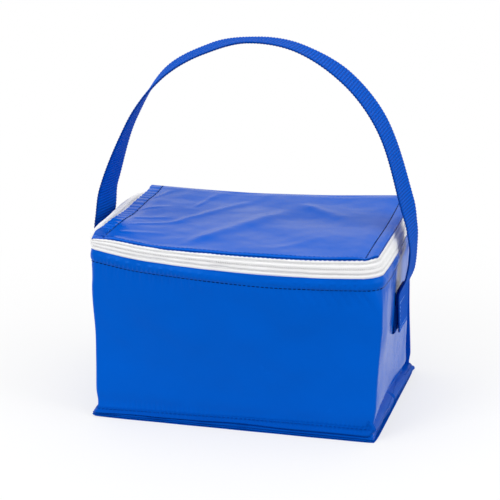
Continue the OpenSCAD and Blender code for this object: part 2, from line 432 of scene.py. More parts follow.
@dataclass(frozen=True)
class Finish:
    """What every finish has: its name, colour and gloss."""

    name: str
    colour: tuple[float, float, float]
    roughness: float = 0.5
    ior: float = 1.45
    patches: float = 18.0
    depth: float = 0.1
    gloss_tint: tuple[float, float, float] = (1.0, 1.0, 1.0)
    uneven: float = 0.15

    def start(self, effects: Effects) -> tuple[Material, Node]:
        """Makes the material with its uneven colour and gloss.

        Args:
            effects: The shared effects.

        Returns:
            The material and its shader.
        """
        material = bpy.data.materials.new(self.name)
        material.use_nodes = True
        tree = material.node_tree
        shader = tree.nodes["Principled BSDF"]
        feed(shader, {"Roughness": self.roughness, "IOR": self.ior,
                      "Specular Tint": (*self.gloss_tint, 1.0)})
        shade = named(tree, "ShaderNodeGroup", node_tree=effects.shade)
        feed(shade, {"Colour": (*self.colour, 1.0), "Patches per metre": self.patches,
                     "Depth": self.depth})
        less, more = self.roughness * (1 - self.uneven), self.roughness * (1 + self.uneven)
        rough = fed(tree, "ShaderNodeMapRange", {"Value": shade.outputs["Mask"], "To Min": less,
                                                 "To Max": min(more, 1.0)})
        feed(shader, {"Base Color": shade.outputs["Colour"], "Roughness": rough})
        return material, shader

    def bump(self, shader: Node, heights: Sequence[tuple[NodeSocket, float]]) -> None:
        """Chains bumps into the shader.

        Args:
            shader: The shader.
            heights: Each bump's height socket and its real depth in metres.
        """
        last = {}
        for socket, deep in heights:
            last = {"Normal": fed(shader.id_data, "ShaderNodeBump",
                                  {"Distance": deep, "Height": socket, **last})}
        feed(shader, last)


@dataclass(frozen=True)
class SheetFinish(Finish):
    """A smooth plastic sheet with a fine grain and soft shallow waves."""

    grain: float = 1500.0
    grain_deep: float = 0.00002
    wave: float = 45.0
    wave_deep: float = 0.0012

    def material(self, effects: Effects) -> Material:
        """Builds the material.

        Args:
            effects: The shared effects.

        Returns:
            The material.
        """
        material, shader = self.start(effects)
        tree = material.node_tree
        skin = fed(tree, "ShaderNodeGroup",
                   {"Grain per metre": self.grain, "Cells per metre": self.grain * 0.7},
                   node_tree=effects.grain)
        waves = fed(tree, "ShaderNodeTexNoise",
                    {"Vector": here(tree), "Scale": self.wave, "Detail": 1.5})
        self.bump(shader, [(waves, self.wave_deep), (skin, self.grain_deep)])
        return material


@dataclass(frozen=True)
class WovenFinish(Finish):
    """Threads woven on the piece's own UV map, with a little sheen."""

    thread: float = 0.0006
    deep: float = 0.00015
    sheen: float = 0.15

    def material(self, effects: Effects) -> Material:
        """Builds the material.

        Args:
            effects: The shared effects.

        Returns:
            The material.
        """
        material, shader = self.start(effects)
        weave = fed(material.node_tree, "ShaderNodeGroup", {"Thread": self.thread},
                    node_tree=effects.weave)
        feed(shader, {"Sheen Weight": self.sheen, "Sheen Roughness": 0.4})
        self.bump(shader, [(weave, self.deep)])
        return material


@dataclass(frozen=True)
class RibbedFinish(WovenFinish):
    """Webbing with painted shade: grooves and edges, marked by its own attribute, painted darker than
    ribs.
    """

    # The colour painted in the grooves and at the two edges: painted shade.
    groove_shade: tuple[float, float, float] = (0.0, 0.01, 0.12)

    def material(self, effects: Effects) -> Material:
        """Builds the material.

        Args:
            effects: The shared effects.

        Returns:
            The material.
        """
        material = super().material(effects)
        tree = material.node_tree
        shader = tree.nodes["Principled BSDF"]
        old = shader.inputs["Base Color"].links[0].from_socket
        # Painted shade: the colour goes towards the groove colour where the rib mask is low.
        mark = fed(tree, "ShaderNodeAttribute", {}, "Fac", attribute_name="rib")
        mix = named(tree, "ShaderNodeMix", data_type="RGBA")
        first, second = (k for k, socket in enumerate(mix.inputs) if socket.type == "RGBA")
        feed(mix, {0: mark, first: (*self.groove_shade, 1.0), second: old})
        result = next(socket for socket in mix.outputs if socket.type == "RGBA")
        feed(shader, {"Base Color": result})
        return material


@dataclass(frozen=True)
class MetalFinish(Finish):
    """Aluminised film, creased all over."""

    metallic: float = 0.9
    crease: float = 90.0
    crease_deep: float = 0.0012
    grain: float = 260.0
    grain_deep: float = 0.0004

    def material(self, effects: Effects) -> Material:
        """Builds the material.

        Args:
            effects: The shared effects.

        Returns:
            The material.
        """
        material, shader = self.start(effects)
        tree = material.node_tree
        feed(shader, {"Metallic": self.metallic})
        place = here(tree)
        folds = fed(tree, "ShaderNodeTexVoronoi", {"Vector": place, "Scale": self.crease},
                    feature="DISTANCE_TO_EDGE")
        fine = fed(tree, "ShaderNodeTexNoise", {"Vector": place, "Scale": self.grain})
        self.bump(shader, [(folds, self.crease_deep), (fine, self.grain_deep)])
        return material


class Wardrobe:
    """Every material of the bag, by what it is on."""

    def __init__(self) -> None:
        """Builds the materials."""
        effects = Effects()
        blue = (0.0, 0.1, 0.575)
        tint = (0.1, 0.5, 1.0)
        self.vinyl = SheetFinish("cover_vinyl", blue, 0.26, 1.23, depth=0.12,
                                 gloss_tint=tint).material(effects)
        # A darker copy of the cover vinyl: painted shade for the flange, the bottom and the hem under
        # the lid.
        self.shaded_vinyl = SheetFinish("vinyl_painted_shade", (0.0, 0.075, 0.45), 0.34, 1.15, depth=0.25,
                                      gloss_tint=tint).material(effects)
        web = (0.0, 0.105, 0.64)
        self.webbing = RibbedFinish("strap_webbing", web, 0.7, 1.16, 60.0, 0.2, tint, thread=0.0007,
                                    deep=0.00001, sheen=0.0).material(effects)
        self.pad = WovenFinish("pad_webbing", (0.0, 0.02, 0.2), 0.6, 1.3, 60.0, 0.2, tint,
                               thread=0.0009, deep=0.0001, sheen=0.0).material(effects)
        # Painted highlight: light blue thread that stands for the light on the fold at the top of the
        # strap's feet.
        self.painted_highlight_thread = WovenFinish("painted_highlight_thread", (0.2, 0.42, 0.9), 0.6, 1.4,
                                        thread=0.0003).material(effects)
        self.thread = WovenFinish("blue_thread", (0.0, 0.008, 0.07), 0.7, 1.3, gloss_tint=tint,
                                  thread=0.0003, sheen=0.0).material(effects)
        self.seam_thread = WovenFinish("seam_thread", (0.0, 0.04, 0.3), 0.7, 1.3, gloss_tint=tint,
                                       thread=0.0003, sheen=0.0).material(effects)
        self.tape = WovenFinish("zip_tape", (0.9, 0.9, 0.91), 0.75, 1.4, 30.0, 0.05,
                                thread=0.0005, deep=0.00008).material(effects)
        self.coil = SheetFinish("zip_coil", (0.88, 0.88, 0.89), 0.4, 1.45,
                                depth=0.05).material(effects)
        self.white_thread = WovenFinish("white_thread", (0.8, 0.8, 0.81), 0.75, 1.4,
                                        thread=0.0003).material(effects)
        self.slider = SheetFinish("slider_enamel", (0.84, 0.84, 0.85), 0.28, 1.5, depth=0.06,
                                  wave_deep=0.0001).material(effects)
        self.foam = SheetFinish("foam_sheet", (0.85, 0.85, 0.83), 0.9, 1.3, depth=0.08,
                                grain=700.0, grain_deep=0.0002).material(effects)
        self.foil = MetalFinish("foil_film", (0.74, 0.75, 0.77), 0.22, 1.45,
                                depth=0.1).material(effects)


# ---- meshes


def eased(value: Array | float) -> Array:
    """A smooth step from 0 to 1 over the same range."""
    held = np.clip(value, 0.0, 1.0)
    return held * held * (3.0 - 2.0 * held)


def hump(value: Array, middle: float, reach: float) -> Array:
    """A bell of height 1 round a place."""
    return np.exp(-(((value - middle) / reach) ** 2))


@dataclass(frozen=True)
class Zone:
    """A stretch over which something sets in smoothly, towards smaller values if it is negative."""

    start: float
    length: float

    def __call__(self, where: Array) -> Array:
        """From 0 before the stretch to 1 past it."""
        return eased((where - self.start) / self.length)


@dataclass(frozen=True)
class Run:
    """A smooth value along a length, through a few chosen places."""

    at: tuple[float, ...]
    value: tuple[float, ...]
    soften: float = 5.0
    steps: int = 300
    longest: int = 140

    def __call__(self, where: Array) -> Array:
        """The value at each place.

        Args:
            where: The places.

        Returns:
            The values.
        """
        fine = np.linspace(self.at[0], self.at[-1], self.steps)
        step = fine[1] - fine[0]
        reach = max(1, min(self.longest, int(3 * self.soften / step)))
        bell = np.exp(-0.5 * (np.arange(-reach, reach + 1) * step / self.soften) ** 2)
        raw = np.pad(np.interp(fine, self.at, self.value), reach, mode="reflect",
                     reflect_type="odd")
        return np.interp(where, fine, np.convolve(raw, bell / bell.sum(), "valid"))


@dataclass(frozen=True)
class Ripple:
    """Soft unevenness: waves of about one length in random directions, the same on every run."""

    seed: int
    length: float
    height: float
    waves: int = 9

    def __call__(self, first: Array, second: Array) -> Array:
        """The height at each place.

        Args:
            first: The places' first coordinate.
            second: Their second one.

        Returns:
            The heights.
        """
        rng = np.random.default_rng(self.seed)
        total = np.zeros(np.broadcast(first, second).shape)
        for _ in range(self.waves):
            turn, phase = rng.uniform(0.0, 2.0 * math.pi, 2)
            size = self.length * rng.uniform(0.7, 1.5)
            travel = first * math.cos(turn) + second * math.sin(turn)
            total += np.sin(2.0 * math.pi * travel / size + phase)
        return self.height * total / math.sqrt(self.waves / 2)


@dataclass(frozen=True)
class Fold:
    """A soft fold from one place to another, widening as it goes."""

    start: tuple[float, float]
    end: tuple[float, float]
    width: float
    height: float
    fade_in: float = 0.2
    fade_out: float = 0.4

    def __call__(self, first: Array, second: Array) -> Array:
        """The height at each place.

        Args:
            first: The places' first coordinate.
            second: Their second one.

        Returns:
            The heights.
        """
        run = np.subtract(self.end, self.start)
        length = math.hypot(*run)
        from_start = first - self.start[0], second - self.start[1]
        share = (from_start[0] * run[0] + from_start[1] * run[1]) / length**2
        aside = (from_start[1] * run[0] - from_start[0] * run[1]) / length
        wide = self.width * (0.5 + 0.5 * np.clip(share, 0.0, 1.0))
        return (self.height * np.exp(-((aside / wide) ** 2)) * eased(share / self.fade_in)
                * eased((1.0 - share) / self.fade_out))


def facing(points: Array, wrap: bool = False) -> Array:
    """Unit normals of a grid of points, on the side that the first axis x the second points to.

    Args:
        points: The grid, n x m x 3.
        wrap: Whether the second axis closes on itself.

    Returns:
        The normals, n x m x 3.
    """
    along = np.gradient(points, axis=0)
    if wrap:
        up = np.roll(points, -1, axis=1) - np.roll(points, 1, axis=1)
    else:
        up = np.gradient(points, axis=1)
    return unit(np.cross(along, up))


def lengths(points: Array) -> Array:
    """How far each point of a line lies along it."""
    steps = np.linalg.norm(np.diff(points, axis=0), axis=1)
    return np.concatenate([[0.0], np.cumsum(steps)])


def mesh_piece(name: str, points: Array, faces: Array, lie: Array,
               crisp: float = 50.0) -> Object:
    """Makes an object from points in millimetres.

    Args:
        name: The piece's name.
        points: One point a row.
        faces: Four indices a row. A row may repeat its last index, for a triangle.
        lie: Where each point lies on the cut piece, in millimetres, for the UV map.
        crisp: The angle in degrees past which an edge is sharp.

    Returns:
        The object, at the origin.
    """
    mesh = bpy.data.meshes.new(name)
    rows = [row[:3] if row[2] == row[3] else row for row in faces.tolist()]
    mesh.from_pydata((points * MM).tolist(), [], rows)
    chart = mesh.uv_layers.new(name="cut")
    corner = np.zeros(len(mesh.loops), int)
    mesh.loops.foreach_get("vertex_index", corner)
    chart.data.foreach_set("uv", (lie[corner] * MM).astype(np.float32).ravel())
    mesh.shade_smooth()
    mesh.set_sharp_from_angle(angle=math.radians(crisp))
    mesh.update()
    return placed(name, mesh)


def skin(name: str, outer: Array, thick: float | Array) -> Object:
    """A sheet with its real thickness.

    Args:
        name: The piece's name.
        outer: The grid of its outer side, n x m x 3.
        thick: Its thickness, one value or one a point.

    Returns:
        The object.
    """
    n, m = outer.shape[:2]
    depth = np.broadcast_to(np.asarray(thick, float), (n, m))[..., None]
    inner = outer - facing(outer) * depth
    points = np.concatenate([outer.reshape(-1, 3), inner.reshape(-1, 3)])
    index = np.arange(n * m).reshape(n, m)
    quads = np.stack([index[:-1, :-1], index[1:, :-1], index[1:, 1:], index[:-1, 1:]],
                     axis=-1).reshape(-1, 4)
    edge = np.concatenate([index[:, 0], index[-1, 1:], index[-2::-1, -1], index[0, -2:0:-1]])
    onward = np.roll(edge, -1)
    rim = np.stack([onward, edge, edge + n * m, onward + n * m], axis=1)
    faces = np.concatenate([quads, quads[:, ::-1] + n * m, rim])
    lie = spread(lengths(outer[:, m // 2])[:, None], lengths(outer[n // 2])).reshape(-1, 2)
    return mesh_piece(name, points, faces, np.concatenate([lie, lie]))


def tube(name: str, rings: Array) -> Object:
    """A closed flat tube: rings of points, each out along one face and back along the other.

    Args:
        name: The piece's name.
        rings: The rings, n x m x 3, with m even.

    Returns:
        The object.
    """
    n, m = rings.shape[:2]
    index = np.arange(n * m).reshape(n, m)
    beside = np.roll(index, -1, axis=1)
    quads = np.stack([index[:-1], index[1:], beside[1:], beside[:-1]], axis=-1).reshape(-1, 4)
    k = np.arange(m // 2 - 1)
    first = np.stack([k, k + 1, m - 2 - k, m - 1 - k], axis=1)
    faces = np.concatenate([quads, first, first[:, ::-1] + (n - 1) * m])
    closed = np.concatenate([rings, rings[:, :1]], axis=1)
    round_it = lengths(closed[n // 2])[:m]
    width = round_it[m // 2 - 1]
    fold_back = np.where(np.arange(m) < m // 2, round_it, 2 * width - round_it)
    lie = spread(lengths(rings.mean(axis=1))[:, None], fold_back).reshape(-1, 2)
    return mesh_piece(name, rings.reshape(-1, 3), faces, lie, 60.0)


def section(share: Array, square: int) -> tuple[Array, Array, Array]:
    """A flat strip's section, out along one face and back along the other.

    Args:
        share: Places across a face, from -1 to 1.
        square: How square its two edges are.

    Returns:
        The places, the face of each (-1 or 1), and each one's share of the full depth.
    """
    both = np.concatenate([share, share[::-1]])
    face = np.repeat([-1.0, 1.0], len(share))
    return both, face, np.sqrt(np.clip(1 - np.abs(both) ** square, 0, 1))


def tree_of(*pieces: Object) -> BVHTree:
    """The finished surface of one piece or several, for rays.

    Args:
        *pieces: The pieces.

    Returns:
        The tree, in metres.
    """
    places, faces = [], []
    for piece in pieces:
        start = len(places)
        places += [v.co for v in piece.data.vertices]
        faces += [[start + k for k in p.vertices] for p in piece.data.polygons]
    return BVHTree.FromPolygons(places, faces)


def fit(piece: Object, body: Body, material: Material,
        replaces: Sequence[str] = ()) -> Object:
    """Dresses a piece and hangs it on its body.

    Args:
        piece: The finished piece.
        body: The body it rides on.
        material: Its material.
        replaces: The CAD nodes it stands for.

    Returns:
        The piece.
    """
    piece.data.materials.clear()
    piece.data.materials.append(material)
    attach(piece, body.value)
    if replaces:
        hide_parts(*replaces)
    log.info("%s: %d faces on %s", piece.name, len(piece.data.polygons), body.value)
    return piece


# ---- the standing bag


def span(node: str) -> tuple[Array, Array]:
    """A CAD node's lowest and highest corners, in millimetres."""
    low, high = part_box(node)
    return np.array(low) / MM, np.array(high) / MM


@dataclass
class Form:
    """How the sewn bag stands. It moves places on the square pattern to where they really are."""

    wide: float
    deep: float
    high: float
    rim: float
    rim_front: Run = Run((-103, -70, -42, -15, 11, 37, 70, 103),
                    (4.6, 0.9, 0.0, -0.9, -1.7, -2.3, -2.8, -2.4), 7.0)
    rim_right: Run = Run((-70, -30, 10, 50, 70), (-2.4, -2.2, -1.5, -0.6, 0.0), 6.0)
    rim_left: Run = Run((-70, -64, -58, -52, 0, 70), (4.6, 3.0, 1.0, 0.0, 0.0, 0.0), 2.0)
    rim_back: Run = Run((-103, 103), (0.0, 0.0), 5.0)
    lid_front: Run = Run((-103, -87, -51, -15, 20, 53, 98, 103),
                    (-0.3, -0.7, -3.4, -3.1, -3.3, -3.8, -3.1, -3.0), 5.0)
    lid_right: Run = Run((-70, -30, 10, 50, 70), (-3.0, -1.6, -0.8, 1.2, 4.4), 6.0)
    lid_left: Run = Run((-70, -60, -45, 0, 40, 70), (-0.3, 0.5, 0.4, -0.6, -0.6, 0.0), 4.0)
    lid_back: Run = Run((-103, -60, -19, 40, 80, 103), (0.0, -1.2, -1.6, 0.4, 3.0, 4.4), 8.0)
    bulge: Run = Run((-70, -40, 0, 35, 58, 70), (0.7, 1.0, 1.0, 0.62, 0.2, 0.0), 6.0)
    corner: Run = Run((0, 28, 36, 51, 66, 82, 90, 98, 105, 113, 119, 136),
                 (0.0, 1.1, 1.5, 2.4, 3.3, 3.9, 3.5, 3.0, 2.3, 1.1, 0.2, 0.0), 3.0)
    foot_in: Run = Run((-73, -50, -20, 20, 50, 73), (0.2, 1.5, 3.0, 3.5, 3.0, 0.8), 8.0)
    foot_high: Run = Run((-73, 0, 73), (18.0, 11.0, 6.0), 10.0)
    foot_lift: Run = Run((-105, -60, 0, 60, 105), (-2.4, -1.2, 0.3, 1.0, 1.2), 12.0)
    left_bend: float = 3.5
    side_steps: int = 150
    front_steps: int = 300
    arc_steps: int = 12
    past: float = 1.05
    sag_from: float = 60.0
    lean: float = 7.0
    bow: float = 11.0
    rear_bow: float = 1.2
    belly: float = 4.5
    fullest: float = 118.0
    slack: float = 18.0
    tuck: float = 6.3
    tuck_top: float = 128.0
    tuck_low: float = 2.6
    tuck_end: float = 69.35
    left_out: float = 1.4
    puff: float = 1.3
    droop: float = 2.0
    droop_reach: tuple[float, float] = (11.0, 7.0)
    foot_ease: float = 8.0
    right_front: Zone = Zone(-20.0, -38.0)
    left_front: Zone = Zone(-15.0, -35.0)
    left_high: Zone = Zone(50.0, 75.0)
    rear: Zone = Zone(46.0, 22.0)
    rear_edge: Zone = Zone(50.0, 18.0)
    off_floor: Zone = Zone(10.0, 50.0)
    under_rim: Zone = Zone(115.0, -35.0)
    low_down: Zone = Zone(52.0, -18.0)
    puff_high: Zone = Zone(132.5, 2.5)
    puff_front: Zone = Zone(-58.0, 16.0)
    puff_rear: Zone = Zone(66.0, -10.0)
    front_row: Zone = Zone(-64.0, -5.0)

    @classmethod
    def measured(cls) -> "Form":
        """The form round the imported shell."""
        low, high = span("shell_wrap")
        return cls(high[0], -low[1], span("lid_panel")[1][2], high[2])

    def patch(self, edges: tuple[Run, Run, Run, Run], x: Array, y: Array) -> Array:
        """Blends the values along a rectangle's four edges over its inside.

        Args:
            edges: The front, right, left and back edges.
            x: Where across.
            y: Where from front to back.

        Returns:
            The blended values.
        """
        front, right, left, back = edges
        s, t = (x / self.wide + 1) / 2, (y / self.deep + 1) / 2
        s, t = np.clip(s, 0.0, 1.0), np.clip(t, 0.0, 1.0)
        corners = ((1 - s) * (1 - t) * front(-self.wide) + s * (1 - t) * front(self.wide)
                   + (1 - s) * t * back(-self.wide) + s * t * back(self.wide))
        return (1 - t) * front(x) + t * back(x) + (1 - s) * left(y) + s * right(y) - corners

    def sideways(self, x: Array, y: Array, z: Array) -> Array:
        """How far places move to the right: bellies and corners out, feet and rear edges in.

        Args:
            x: Where across.
            y: Where from front to back.
            z: How high.

        Returns:
            The distances.
        """
        u = x / self.wide
        right, left = np.clip(u, 0, self.past), np.clip(-u, 0, self.past)
        above = np.clip((z - self.fullest) / self.slack, 0, 1)
        full = np.where(z < self.fullest, np.clip(z / self.fullest, 0, 1) ** 2.3,
                        0.6 + 0.4 * np.cos(np.pi * above))
        move = right**3 * self.belly * self.bulge(y) * full
        move += right**3 * self.corner(np.clip(z, 0, 136)) * self.right_front(y)
        move -= left**3 * self.left_out * self.left_high(z) * self.left_front(y)
        near_foot = Zone(self.foot_high(y) + self.foot_ease, -self.foot_ease)(z)
        move -= np.minimum(right, 1) ** 8 * self.foot_in(y) * near_foot
        move -= (right**8 * self.rear_edge(y) * (0.5 + 1.0 * self.off_floor(z))
                 * self.under_rim(z) * eased(z / 6.0))
        pull = self.rear(y) * (np.clip(1 - z / self.tuck_top, 0, 1) * self.tuck
                               + self.tuck_low * self.low_down(z))
        move -= np.sign(x) * np.clip(np.abs(u), 0, 1) ** 6 * pull * (y < self.tuck_end)
        move += (np.minimum(left, 1) ** 6 * self.puff * self.puff_high(z)
                 * self.puff_front(y) * self.puff_rear(y))
        return move

    def backward(self, x: Array, y: Array, z: Array) -> Array:
        """How far places move back: the front leans back and bows out, the back bows out.

        Args:
            x: Where across.
            y: Where from front to back.
            z: How high.

        Returns:
            The distances.
        """
        u, v = x / self.wide, y / self.deep
        rise = np.clip(z / self.high, 0.0, 1.02)
        inner = 1 - np.clip(u * u, 0, 1)
        front = np.clip(-v, 0.0, self.past)
        move = front * (self.lean * rise - self.bow * inner * eased(z / self.rim))
        return move + np.clip(v, 0, 1) ** 4 * self.rear_bow * inner * np.sin(np.pi * rise)

    def upward(self, x: Array, y: Array, z: Array) -> Array:
        """How far places move up: the rim and the lid sag between their corners.

        Args:
            x: Where across.
            y: Where from front to back.
            z: How high.

        Returns:
            The distances.
        """
        low = self.patch((self.rim_front, self.rim_right, self.rim_left, self.rim_back), x, y)
        top = self.patch((self.lid_front, self.lid_right, self.lid_left, self.lid_back), x, y)
        across, behind = self.droop_reach
        top = top - self.droop * hump(x, -self.wide, across) * hump(y, -self.deep, behind)
        between = np.clip((z - self.rim) / (self.high - self.rim), 0.0, self.past)
        ramp = eased((z - self.sag_from) / (self.rim - self.sag_from))
        return np.where(z < self.rim, low * ramp, low + (top - low) * between**1.6)

    def front_lift(self, x: Array, y: Array) -> Array:
        """How far the flange's upper edge rises above the pattern along the front."""
        return self.foot_lift(x) * self.front_row(y)

    def settle(self, places: Array) -> Array:
        """Moves places on the square pattern to where the standing bag holds them.

        Args:
            places: Places in millimetres, the last axis being x, y, z.

        Returns:
            The moved places.
        """
        x, y, z = places[..., 0], places[..., 1], places[..., 2]
        return np.stack([x + self.sideways(x, y, z), y + self.backward(x, y, z),
                         z + self.upward(x, y, z)], axis=-1)

    def around(self, radius: float, out: float, back: float, closed: bool = False) -> Array:
        """Plan places from the left side's back round the front to the right side's back.

        Args:
            radius: The front corners' radius at the wall. The left one is never rounder than
                left_bend.
            out: How far outside the wall.
            back: The y at which the sides end.
            closed: Whether it goes on along the back, with rounded corners there too.

        Returns:
            One x, y a row.
        """
        half, front = self.wide + out, -self.deep - out
        turn = np.linspace(0.0, math.pi / 2, self.arc_steps)
        mirror = np.array([-1.0, 1.0])
        halves, rears, ends = [], [], []
        for bend in (max(min(radius, self.left_bend) + out, 0.3), max(radius + out, 0.3)):
            low = (back - bend) if closed else back
            side = np.linspace(low, front + bend, self.side_steps, endpoint=False)
            across = -half + bend - bend * np.cos(turn)
            halves.append(np.concatenate([spread(-half, side),
                                          spread(across, front + bend - bend * np.sin(turn))]))
            rears.append(spread(across, back - bend + bend * np.sin(turn)))
            ends.append(half - bend)
        run = np.linspace(-ends[0], ends[1], self.front_steps)[1:-1]
        parts = [halves[0], spread(run, front), halves[1][::-1] * mirror]
        if closed:
            parts += [(rears[1] * mirror)[1:], spread(run[::-1], back), rears[0][:0:-1]]
        return np.concatenate(parts)

    def band(self, rows: Sequence[tuple[float, float, float]], back: float,
             closed: bool = False) -> Array:
        """A grid round the bag on the square pattern.

        Args:
            rows: Height, corner radius and distance outside the wall of each row, upwards.
            back: The y at which the sides end.
            closed: Whether it goes all the way round.

        Returns:
            The grid, not yet settled.
        """
        grid = []
        for height, radius, out in rows:
            plan = self.around(radius, out, back, closed)
            grid.append(spread(plan[:, 0], plan[:, 1], height))
        return np.stack(grid, axis=1)


def swell(points: Array, amount: Array) -> Array:
    """Moves a grid's points along its normals."""
    return points + facing(points) * np.asarray(amount)[..., None]


def slab(name: str, outer: Array, thick: float, soft: float = 2.0) -> Object:
    """A foam panel: a sheet that thins towards its edges.

    Args:
        name: The piece's name.
        outer: The grid of its outer side.
        thick: Its thickness.
        soft: How far from the edge it reaches its full thickness.

    Returns:
        The object.
    """
    n, m = outer.shape[:2]
    along, up = lengths(outer[:, m // 2]), lengths(outer[n // 2])
    near = np.minimum(np.minimum(along, along[-1] - along)[:, None],
                      np.minimum(up, up[-1] - up)[None, :])
    round_off = np.sqrt(1 - (1 - np.clip(near / soft, 0.0, 1.0)) ** 2)
    depth = thick * (0.3 + 0.7 * round_off)
    return skin(name, outer - facing(outer) * ((thick - depth) / 2)[..., None], depth)


class Sewing:
    """One Geometry Nodes tree that sets small rounded shapes along a line, and its uses."""

    def __init__(self) -> None:
        """Builds the tree."""
        self.tree = self._tree()

    def _tree(self) -> NodeTree:
        """A line is cut to equal steps and takes one shape at each.

        Returns:
            The tree.
        """
        tree, given, made = group(
            "shapes_along_a_line", {"Line": "Geometry", "Pitch": "Float", "Size": "Vector",
                                    "Spread": "Float", "Finish": "Material"},
            {"Shapes": "Geometry"}, "GeometryNodeTree")
        curve = fed(tree, "GeometryNodeMeshToCurve", {"Mesh": given["Line"]})
        steps = fed(tree, "GeometryNodeResampleCurve",
                    {"Curve": curve, "Length": given["Pitch"]}, mode="LENGTH")
        ball = fed(tree, "GeometryNodeMeshUVSphere", {"Segments": 6, "Rings": 5, "Radius": 0.5})
        outward = fed(tree, "GeometryNodeInputNamedAttribute", {"Name": "out"},
                      data_type="FLOAT_VECTOR")
        stand = fed(tree, "FunctionNodeAlignRotationToVector", {"Vector": outward}, axis="Z")
        tangent = fed(tree, "GeometryNodeInputTangent", {})
        turn = fed(tree, "FunctionNodeAlignRotationToVector",
                   {"Rotation": stand, "Vector": tangent}, axis="X", pivot_axis="Z")
        vary = named(tree, "FunctionNodeRandomValue", data_type="FLOAT")
        low, high = (next(k for k, socket in enumerate(vary.inputs)
                          if socket.name == end and socket.type == "VALUE") for end in ("Min", "Max"))
        feed(vary, {low: maths(tree, "SUBTRACT", 1.0, given["Spread"]),
                    high: maths(tree, "ADD", 1.0, given["Spread"]), "Seed": 7})
        value = next(socket for socket in vary.outputs if socket.type == "VALUE")
        grow = fed(tree, "ShaderNodeVectorMath", {0: given["Size"], "Scale": value},
                   operation="SCALE")
        put = fed(tree, "GeometryNodeInstanceOnPoints", {"Points": steps, "Instance": ball,
                                                         "Rotation": turn, "Scale": grow})
        real = fed(tree, "GeometryNodeRealizeInstances", {"Geometry": put})
        smooth = fed(tree, "GeometryNodeSetShadeSmooth", {"Geometry": real})
        paint = fed(tree, "GeometryNodeSetMaterial",
                    {"Geometry": smooth, "Material": given["Finish"]})
        feed(made, {"Shapes": paint})
        return tree

    def row(self, name: str, path: Array, outward: Array, pitch: float,
            size: tuple[float, float, float], material: Material,
            closed: bool = False) -> Object:
        """Makes one row of shapes.

        Args:
            name: The piece's name.
            path: The line's places in millimetres.
            outward: The direction away from the carrying surface at each place.
            pitch: The distance from shape to shape, in millimetres.
            size: Each shape's length, width and thickness in millimetres.
            material: The shapes' material.
            closed: Whether the line runs back to its start.

        Returns:
            A plain mesh object.
        """
        count = len(path)
        edges = [(k, k + 1) for k in range(count - 1)] + ([(count - 1, 0)] if closed else [])
        mesh = bpy.data.meshes.new(name + "_line")
        mesh.from_pydata((path * MM).tolist(), edges, [])
        mark = mesh.attributes.new("out", "FLOAT_VECTOR", "POINT")
        mark.data.foreach_set("vector", outward.astype(np.float32).ravel())
        line = placed(name + "_line", mesh)
        given = {"Pitch": pitch * MM, "Size": [v * MM for v in size], "Spread": 0.06,
                 "Finish": material}
        return plain(line, self.tree, given, name)


def plain(source: Object, tree: NodeTree, given: dict[str, object],
          name: str) -> Object:
    """Runs a Geometry Nodes tree on an object and keeps the result as a plain mesh.

    Args:
        source: The object that goes in. It is removed.
        tree: The tree.
        given: The tree's inputs, by name.
        name: The name of the piece that comes out.

    Returns:
        The new object, without modifiers.
    """
    modifier = source.modifiers.new("nodes", "NODES")
    modifier.node_group = tree
    for item in tree.interface.items_tree:
        if item.in_out == "INPUT" and item.name in given:
            modifier[item.identifier] = given[item.name]
    bpy.context.view_layer.update()
    graph = bpy.context.evaluated_depsgraph_get()
    mesh = bpy.data.meshes.new_from_object(source.evaluated_get(graph))
    mesh.name = name
    piece = placed(name, mesh)
    bpy.data.objects.remove(source)
    return piece


def laid(tree: BVHTree, path: Array, outward: Array,
         lift: float = 0.0) -> tuple[Array, Array]:
    """Lays a line on a surface, from its outer side.

    Args:
        tree: The surface, in metres.
        path: Places near it, in millimetres.
        outward: The direction away from it at each place.
        lift: How far above it the line goes.

    Returns:
        The places on it, and its outward direction at each.
    """
    places, normals = [], []
    for place, way in zip(path, outward):
        hit = tree.ray_cast(Vector((place + way * 8.0) * MM), Vector(-way), 0.02)
        if hit[0] is None:
            hit = tree.find_nearest(Vector(place * MM))
        places.append(hit[0])
        normals.append(hit[1])
    normals = np.array(normals)
    return np.array(places) / MM + normals * lift, normals


# ---- cover


